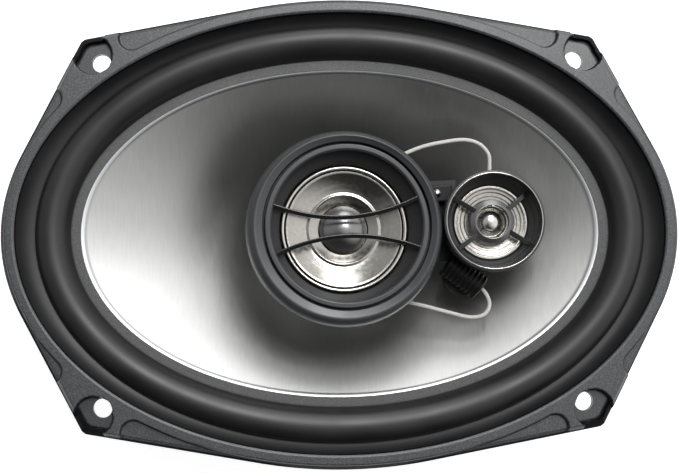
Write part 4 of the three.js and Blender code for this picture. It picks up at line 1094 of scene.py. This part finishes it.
# midrange pod: radius and height pairs in the pods' frame
midPod = {
    "housing": [(9.0, 0.3), (27.6, 0.3), (29.0, 1.6), (29.0, 8.0), (32.0, 11.0), (32.0, 14.0), (30.5, 14.0),
                (30.5, 11.0), (27.5, 8.0), (27.5, 2.3), (11.5, 2.3), (11.5, 3.0), (9.0, 3.0)],
    "bezel": [(32.3, 9.0), (33.5, 9.0), (33.9, 9.5), (33.6, 16.7), (32.9, 18.7), (31.5, 19.7), (28.9, 18.9),
              (28.75, 17.0), (32.3, 16.9)],
    "bezelRounds": [0.2, 0.2, 0.3, 0.9, 1.2, 0.8, 0.25, 0.2, 0.2],
    "crestShift": (0.8, 0.8), "crestRadii": (33.4, 29.2),
    "grilleRing": [(25.9, 16.9), (28.1, 16.9), (28.1, 18.7), (26.4, 18.7), (25.9, 18.1)],
    "baffle": [(22.3, 13.0), (29.8, 13.0), (29.8, 16.6), (27.4, 16.6), (24.7, 15.2), (22.3, 14.3)],
    "chassis": [(10.0, 8.9), (12.0, 8.9), (23.0, 11.3), (29.8, 11.3), (29.8, 12.1), (22.6, 12.1), (11.6, 9.3),
                (10.0, 9.3)],
    "surround": [(20.3, 12.3), (24.0, 12.3), (24.0, 12.7), (22.0, 12.7), (21.5, 14.2), (20.8, 14.2),
                 (20.3, 13.4)],
    "bar": {"gap": 5.0, "sag": 6.0, "reach": 26.3, "width": 1.45, "low": 16.9, "high": 18.4, "fall": 0.7,
            "chamfer": (0.32, 0.15)},
    "barShift": (0.5, 0.5),
    "coneRim": (20.0, 13.4), "ridge": (12.0, 10.74), "neck": (8.6, 9.6), "coneThickness": 0.4,
    "coneSag": 0.3, "faceInset": (0.9, 0.7, 0.1),   # from the ridge, from the rim, below the rim
    "ridgeRound": ((0.45, 0.12), (0.0, 0.3), (-0.6, -0.02)),
    "cap": (8.2, 3.4, 10.2),
}


# bowed bar: a rounded oblong, lower along one edge, carried along y = gap/2 + sag (x/reach)^2
def barSurface(side):
    v = midPod["bar"]
    x = np.linspace(-v["reach"], v["reach"], 72)
    y = side * (v["gap"] / 2 + v["width"] / 2 + v["sag"] * (x / v["reach"]) ** 2)
    slope = side * 2 * v["sag"] * x / v["reach"] ** 2
    out = np.column_stack([-slope, np.ones_like(slope)]) / np.hypot(1, slope)[:, None]
    tall, wide = v["high"] - v["low"], v["width"]
    inward, down = v["chamfer"]
    section = roundSection([(-wide / 2, 0), (wide / 2, 0), (wide / 2, tall - down),
                            (wide / 2 - inward, tall), (-wide / 2, tall - v["fall"])], 0.1)
    across, up = section[:, 0], section[:, 2]
    plan = np.column_stack([x, y])[:, None] + out[:, None] * across[None, :, None]
    grid = np.dstack([plan, np.broadcast_to(v["low"] + up, plan.shape[:2])])
    return gridSurface(grid, "caps")


# low dome on a flat rim: height = base + lift (1 - (r/R)^2) with the ball's own rounding
def domeSection(radius, lift, base, skirt=0.4, rows=26):
    ball = (radius ** 2 + lift ** 2) / (2 * lift)
    angle = np.linspace(math.asin(min(1.0, radius / ball)), 0, rows)
    top = np.column_stack([ball * np.sin(angle), base + skirt + ball * np.cos(angle) - (ball - lift)])
    pairs = np.vstack([[0, base], [radius, base], top])
    return np.column_stack([pairs[:, 0], pairs[:, 0], pairs[:, 1]])


# the inner edge of the bezel sits a little off its outer edge: points move by the crest's shift,
# all of it inside the smaller radius and none outside the larger
def crestShifted(surface):
    points, quads, triangles = surface
    outside, inside = midPod["crestRadii"]
    share = smoothStep(-np.hypot(points[:, 0], points[:, 1]), -outside, -inside)
    return points + np.append(midPod["crestShift"], 0) * share[:, None], quads, triangles


def addMidPod():
    v = midPod
    bezel = crestShifted(turned(v["bezel"], v["bezelRounds"], 180, curve=6))
    ring = crestShifted(turned(v["grilleRing"], 0.3, 180))
    x, y = v["barShift"]
    bars = shifted(together(barSurface(1), barSurface(-1)), x=x, y=y)
    for name, surface, look, slotName, nodes in (
        ("midHousing", turned(v["housing"], 0.5), "bezel", "pod_black", ["mid_housing"]),
        ("midBezel", bezel, "bezel", "pod_black", ["mid_bezel"]),
        ("midGrilleRing", ring, "bezel", "pod_black", ["mid_grille"]),
        ("midGrilleBars", bars, "bar", "pod_black", []),
        ("midBaffle", turned(v["baffle"], 0.35, 160), "baffle", "pod_black", ["mid_baffle"]),
        ("midChassis", turned(v["chassis"], 0.2), "steel", "black_steel", ["mid_chassis"]),
        ("midEdgeRing", turned(v["surround"], 0.3, 160), "bright", "surround_rubber", ["mid_surround"]),
    ):
        addPiece(name, onPods(surface), look, nodes)


addMidPod()


# midrange cone with a ridge part way up, and a smoked cap; its face dips below the straight line
# from ridge to rim by 4 sag share (1 - share)
def addMidCone():
    v = midPod
    neck, ridge, rim = v["neck"], v["ridge"], v["coneRim"]
    t = v["coneThickness"]
    share = np.linspace(1, 0, 14)
    inner, outer, below = v["faceInset"]
    run = ridge[0] + inner + (rim[0] - outer - ridge[0] - inner) * share
    rise = ridge[1] + t + (rim[1] - below - ridge[1]) * share - 4 * v["coneSag"] * share * (1 - share)
    crest = [(ridge[0] + across, ridge[1] + t + up) for across, up in v["ridgeRound"]]
    pairs = np.vstack([[neck, ridge, rim, (rim[0], rim[1] + t)], np.column_stack([run, rise]),
                       crest, [(neck[0], neck[1] + t)]])
    addPiece("midCone", onPods(turned(pairs, 0.2, 180)), "midSilver", ["mid_cone"],
             "mid_diaphragm", crease=30)
    addPiece("midCap", onPods(turnedSurface(domeSection(*v["cap"]), 128)), "cap",
             ["mid_cap"], "mid_diaphragm")


addMidCone()
print("midrange pod made")


# tweeter pod: radius and height pairs round its own axis, in the pods' frame
tweeter = {
    "housing": [(0, 0.3), (13.4, 0.3), (14.5, 1.4), (14.5, 6.5), (17.4, 10.0), (17.4, 17.0), (16.7, 17.0),
                (16.0, 13.2), (14.7, 10.3), (13.1, 8.8), (13.1, 7.6), (10.2, 7.6), (10.2, 1.8), (0, 1.8)],
    "rim": [(16.4, 16.9), (16.66, 16.9), (16.66, 17.85), (16.4, 17.85)],
    "lip": [(16.66, 17.1), (17.4, 17.1), (17.4, 17.55), (16.66, 17.75)],
    "reflector": [(6.7, 7.9), (12.8, 7.9), (12.8, 9.3), (12.0, 9.3), (11.6, 8.85), (10.8, 8.8), (10.4, 8.65),
                  (9.4, 8.6), (9.0, 8.5), (8.1, 8.45), (7.7, 8.4), (6.7, 8.4)],
    "edge": [(5.5, 7.9), (6.4, 7.9), (6.25, 8.6), (5.95, 8.75), (5.65, 8.6)],
    "dome": (5.2, 2.9, 7.8),
    "hub": [(5.6, 12.3), (7.7, 12.3), (7.7, 12.75), (5.95, 13.6), (5.6, 13.5)],
    "spokes": (36, 146, 216, 326), "spokeWidth": 1.7, "spokeReach": (7.0, 15.2),
    "spokeHeights": (12.3, 13.2), "spokeFall": 0.4, "spokeDrop": 0.5,
}


# spoke: a rounded oblong whose top leans to one side, carried outwards and down by drop t^2
def spokeSurface(degrees):
    v = tweeter
    start, end = v["spokeReach"]
    low, high = v["spokeHeights"]
    rho = np.linspace(start, end, 12)
    drop = v["spokeDrop"] * ((rho - start) / (end - start)) ** 2
    half = v["spokeWidth"] / 2
    tilt = v["spokeFall"] * math.copysign(0.5, math.cos(math.radians(degrees)))
    section = roundSection([(-half, low), (half, low), (half, high + tilt), (-half, high - tilt)], 0.2)
    grid = np.stack([np.repeat(rho[:, None], len(section), 1), np.tile(section[:, 0], (len(rho), 1)),
                     section[:, 2] - drop[:, None]], -1)
    return shifted(gridSurface(grid, "caps"), degrees=degrees)


def addTweeter():
    v = tweeter
    spokes = together(*[spokeSurface(degrees) for degrees in v["spokes"]])
    for name, surface, look, slotName, nodes, body in (
        ("tweeterHousing", turned(v["housing"], 0.35, closed=False), "bezel", "pod_black",
         ["tweeter_housing"], "frame"),
        ("tweeterRim", turned(v["rim"], 0.1), "rim", "bright_silver", ["tweeter_rim"], "frame"),
        ("tweeterLip", turned(v["lip"], 0.15), "bezel", "pod_black", [], "frame"),
        ("tweeterReflector", turned(v["reflector"], 0.12), "midSilver", "bright_silver",
         ["tweeter_reflector"], "frame"),
        ("tweeterEdge", turned(v["edge"], 0.15, 96), "bright", "bright_silver", ["tweeter_surround"],
         "frame"),
        ("tweeterDome", turnedSurface(domeSection(*v["dome"]), 96), "bright", "bright_silver",
         ["tweeter_dome"], "tweeter_diaphragm"),
        ("tweeterGuardHub", turned(v["hub"], 0.2, 96), "hub", "pod_black", ["tweeter_guard"], "frame"),
        ("tweeterGuardSpokes", spokes, "bar", "pod_black", [], "frame"),
    ):
        addPiece(name, onTweeter(surface), look, nodes, body)


addTweeter()
print("tweeter pod made")


# capacitor in a shrunk sleeve, lying beside the tweeter, and the small solder block
filterParts = {
    "capacitor": (41.6, -17.9, 5.1), "capacitorRadius": 4.8, "capacitorLength": 15.0,
    "capacitorAngle": -40.0, "ribs": 9, "ribDepth": 0.56,
    "block": (35.6, 11.5), "blockSize": (8.0, 6.0, 4.5), "blockBottom": 0.3,
    "bead": (34.1, 11.5, 1.4, 5.1, 1.0),
}


# sleeve: a turned body laid on its side, radius = R - depth (1 - cos(2 pi n z / length)) / 2
def capacitorSurface():
    v = filterParts
    half, r = v["capacitorLength"] / 2, v["capacitorRadius"]
    along = np.linspace(-half + 0.6, half - 0.6, 90)
    wave = np.cos(2 * np.pi * v["ribs"] * along / v["capacitorLength"])
    ripple = r - v["ribDepth"] * (1 - wave) / 2
    ends = [(0, -half), (r * 0.55, -half), (r * 0.86, -half + 0.25)]
    pairs = np.vstack([ends, np.column_stack([ripple, along]), [(p, -z) for p, z in ends[::-1]]])
    points, quads, triangles = turnedSurface(np.column_stack([pairs[:, 0], pairs[:, 0], pairs[:, 1]]), 64)
    laid = points[:, [2, 0, 1]]
    return shifted((laid, quads, triangles), degrees=v["capacitorAngle"])


# rounded block: an oblong with soft corners, drawn in a little at its top and foot, with one more
# row on both end faces so that they shade flat
def blockSurface(size, corner=0.8, soft=0.4, columns=48):
    angle = (np.arange(columns) + 0.5) * 2 * np.pi / columns
    rise = np.array([0, 0, soft * 0.3, soft])
    heights = np.append(rise, size[2] - rise[::-1])
    inset = np.array([soft + corner * 0.4, soft, soft * 0.3, 0])
    inset = np.append(inset, inset[::-1])[:, None]
    x = np.sign(np.cos(angle)) * (size[0] / 2 - corner) + (corner - inset) * np.cos(angle)
    y = np.sign(np.sin(angle)) * (size[1] / 2 - corner) + (corner - inset) * np.sin(angle)
    grid = np.stack([x, y, np.repeat(heights[:, None], columns, 1)], -1)
    return gridSurface(grid, "caps")


def addFilterParts():
    v = filterParts
    x, y, z = v["capacitor"]
    addPiece("capacitorSleeve", onPods(shifted(capacitorSurface(), x=x, y=y, z=z)), "sleeve",
             ["tweeter_capacitor"])
    x, y = v["block"]
    addPiece("solderBlock", onPods(shifted(blockSurface(v["blockSize"]), x=x, y=y, z=v["blockBottom"])),
             "sleeve", ["solder_block"])
    x, y, r, low, lift = v["bead"]
    bead = domeSection(r, lift - 0.15, low, 0.15, 14)
    addPiece("solderBead", onPods(shifted(turnedSurface(bead, 32), x=x, y=y)), "rim",
             ["solder_screw"])


addFilterParts()
print("filter parts made")


# terminal strip below the spider ledge: board, two rivets and two tabs
terminals = {
    "board": (26.0, 10.0, 3.0), "face": -50.3, "top": 40.4, "rivets": (-10.0, 10.0), "rivetRadius": 1.4,
    "rivetInner": -44.5, "rivetOuter": -54.3,
    "tabs": ((3.5, 6.3, "positive_tab"), (-3.5, 4.8, "negative_tab")), "tabThickness": 0.8,
    "tab": (24.4, 39.4), "tabHole": 0.9, "holeRise": 3.4, "tabGap": 0.3,
}


# a flat piece made lying down, stood up so that its thickness runs along -Y
def stoodUp(surface, x, y, z):
    points, quads, triangles = surface
    return points[:, [0, 2, 1]] * [1, -1, 1] + [x, y, z], quads, triangles


def addTerminals():
    v = terminals
    middle = v["top"] - v["board"][1] / 2
    board = meshObject("terminalBoard", stoodUp(blockSurface(v["board"], 1.2, 0.3), 0, v["face"], middle))
    hole = pillar(0, 0, v["rivetRadius"] + 0.3, -1, 5, 24)
    holes = [stoodUp(hole, x, v["face"], middle) for x in v["rivets"]]
    combine(board, meshObject("boardHoles", together(*holes)), "DIFFERENCE")
    addPiece("terminalBoard", board, "board", ["terminal_block"])
    length = v["rivetInner"] - v["rivetOuter"]
    rivet = turned([(0, 0), (v["rivetRadius"], 0), (v["rivetRadius"], length - 0.3), (0.5, length),
                    (0, length - 0.1)], 0.3, 28, False)
    for number, x in enumerate(v["rivets"], 1):
        addPiece(f"terminalRivet{number}", stoodUp(rivet, x, v["rivetInner"], middle),
                 "zinc", [f"terminal_rivet_{number}"])
    low, high = v["tab"]
    back = v["face"] - v["board"][2] - v["tabGap"]
    hole = pillar(0, 0, v["tabHole"], -1, 3, 24)
    for x, width, nodeName in v["tabs"]:
        size = (width, high - low, v["tabThickness"])
        flat = blockSurface(size, 0.9, 0.12)
        tab = meshObject(nodeName, stoodUp(flat, x, back, (low + high) / 2))
        combine(tab, meshObject("tabHole", stoodUp(hole, x, back, low + v["holeRise"])), "DIFFERENCE")
        addPiece(nodeName.replace("_t", "T"), tab, "brass", [nodeName])


addTerminals()
print("terminals made")


# CAD nodes that keep their own shape and take a better finish
def refinish(look, *names):
    for name in names:
        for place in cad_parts[name].material_slots:
            place.material = finishes[look]


refinish("zinc", "support_post", "post_screw", "post_nut", "mid_yoke", "mid_top_plate",
         "tweeter_screw_1", "tweeter_screw_2", "tweeter_yoke", "tweeter_magnet", "tweeter_top_plate")
refinish("ferrite", "mid_magnet")
refinish("copper", "mid_coil", "tweeter_coil")
refinish("baffle", "bridge")
print("CAD nodes refinished")


# pale floor under the magnet, one large soft panel above, and a dim room with three soft glows and
# a pale band low down all round, so that the floor runs into it without a dark line
studio = {
    "floor": 6.0,
    "floorTone": 0.85,
    "floorGlow": 0.75,
    "floorNoise": 300.0,
    "panel": (0.16, 0.44, 1.05),    # metres
    "panelSize": (0.38, 0.34),
    "panelPower": 4.6,
    "aim": (0, 0, 0.08),
    "room": 0.035,
    "glows": [
        # direction, strength, cosines where it starts and where it is full
        ((0.66, 0.26, 0.7), 0.98, 0.42, 0.97),
        ((0.12, 0.8, 0.59), 2.8, 0.94, 0.99),
        ((-0.7, 0.42, 0.55), 0.42, 0.55, 0.97),
        ((0, 0, 1), 0.55, 0.2, 0.02),
    ],
}


def addStudio():
    v = studio
    half, tone = v["floor"] / 2, v["floorTone"]
    corners = [(-half, -half, 0), (half, -half, 0), (half, half, 0), (-half, half, 0)]
    mesh = bpy.data.meshes.new("floor")
    mesh.from_pydata(corners, [], [(0, 1, 2, 3)])
    floor = bpy.data.objects.new("floor", mesh)
    bpy.context.scene.collection.objects.link(floor)
    look, tree, shader = newFinish("paleFloor", gray(tone), 0.9, specular=0.1)
    patches = noise(tree, v["floorNoise"], 2.0)
    feed(shader, "Base Color", ramp(tree, patches, [(0.2, gray(tone - 0.01)), (0.8, gray(tone))]))
    shader.inputs["Emission Color"].default_value = (1, 1, 1, 1)
    shader.inputs["Emission Strength"].default_value = v["floorGlow"]
    mesh.materials.append(look)
    data = bpy.data.lights.new("keyPanel", "AREA")
    data.shape = "RECTANGLE"
    data.size, data.size_y = v["panelSize"]
    data.energy = v["panelPower"]
    light = bpy.data.objects.new("keyPanel", data)
    light.location = v["panel"]
    light.rotation_mode = "QUATERNION"
    light.rotation_quaternion = (Vector(v["aim"]) - Vector(v["panel"])).to_track_quat("-Z", "Y")
    bpy.context.scene.collection.objects.link(light)
    world = bpy.data.worlds.new("softRoom")
    world.use_nodes = True
    tree = world.node_tree
    direction = node(tree, "TexCoord").outputs["Generated"]
    total = v["room"]
    for aim, strength, low, high in v["glows"]:
        dot = node(tree, "VectorMath", operation="DOT_PRODUCT")
        tree.links.new(direction, dot.inputs[0])
        dot.inputs[1].default_value = Vector(aim).normalized()
        glow = remap(tree, dot.outputs["Value"], low, high, 0.0, strength)
        glow.node.interpolation_type = "SMOOTHSTEP"
        total = maths(tree, "ADD", glow, total)
    tree.nodes["Background"].inputs["Color"].default_value = (1, 1, 1, 1)
    tree.links.new(total, tree.nodes["Background"].inputs["Strength"])
    bpy.context.scene.world = world
    bpy.context.scene.view_settings.view_transform = "Standard"


addStudio()
print("studio lit")
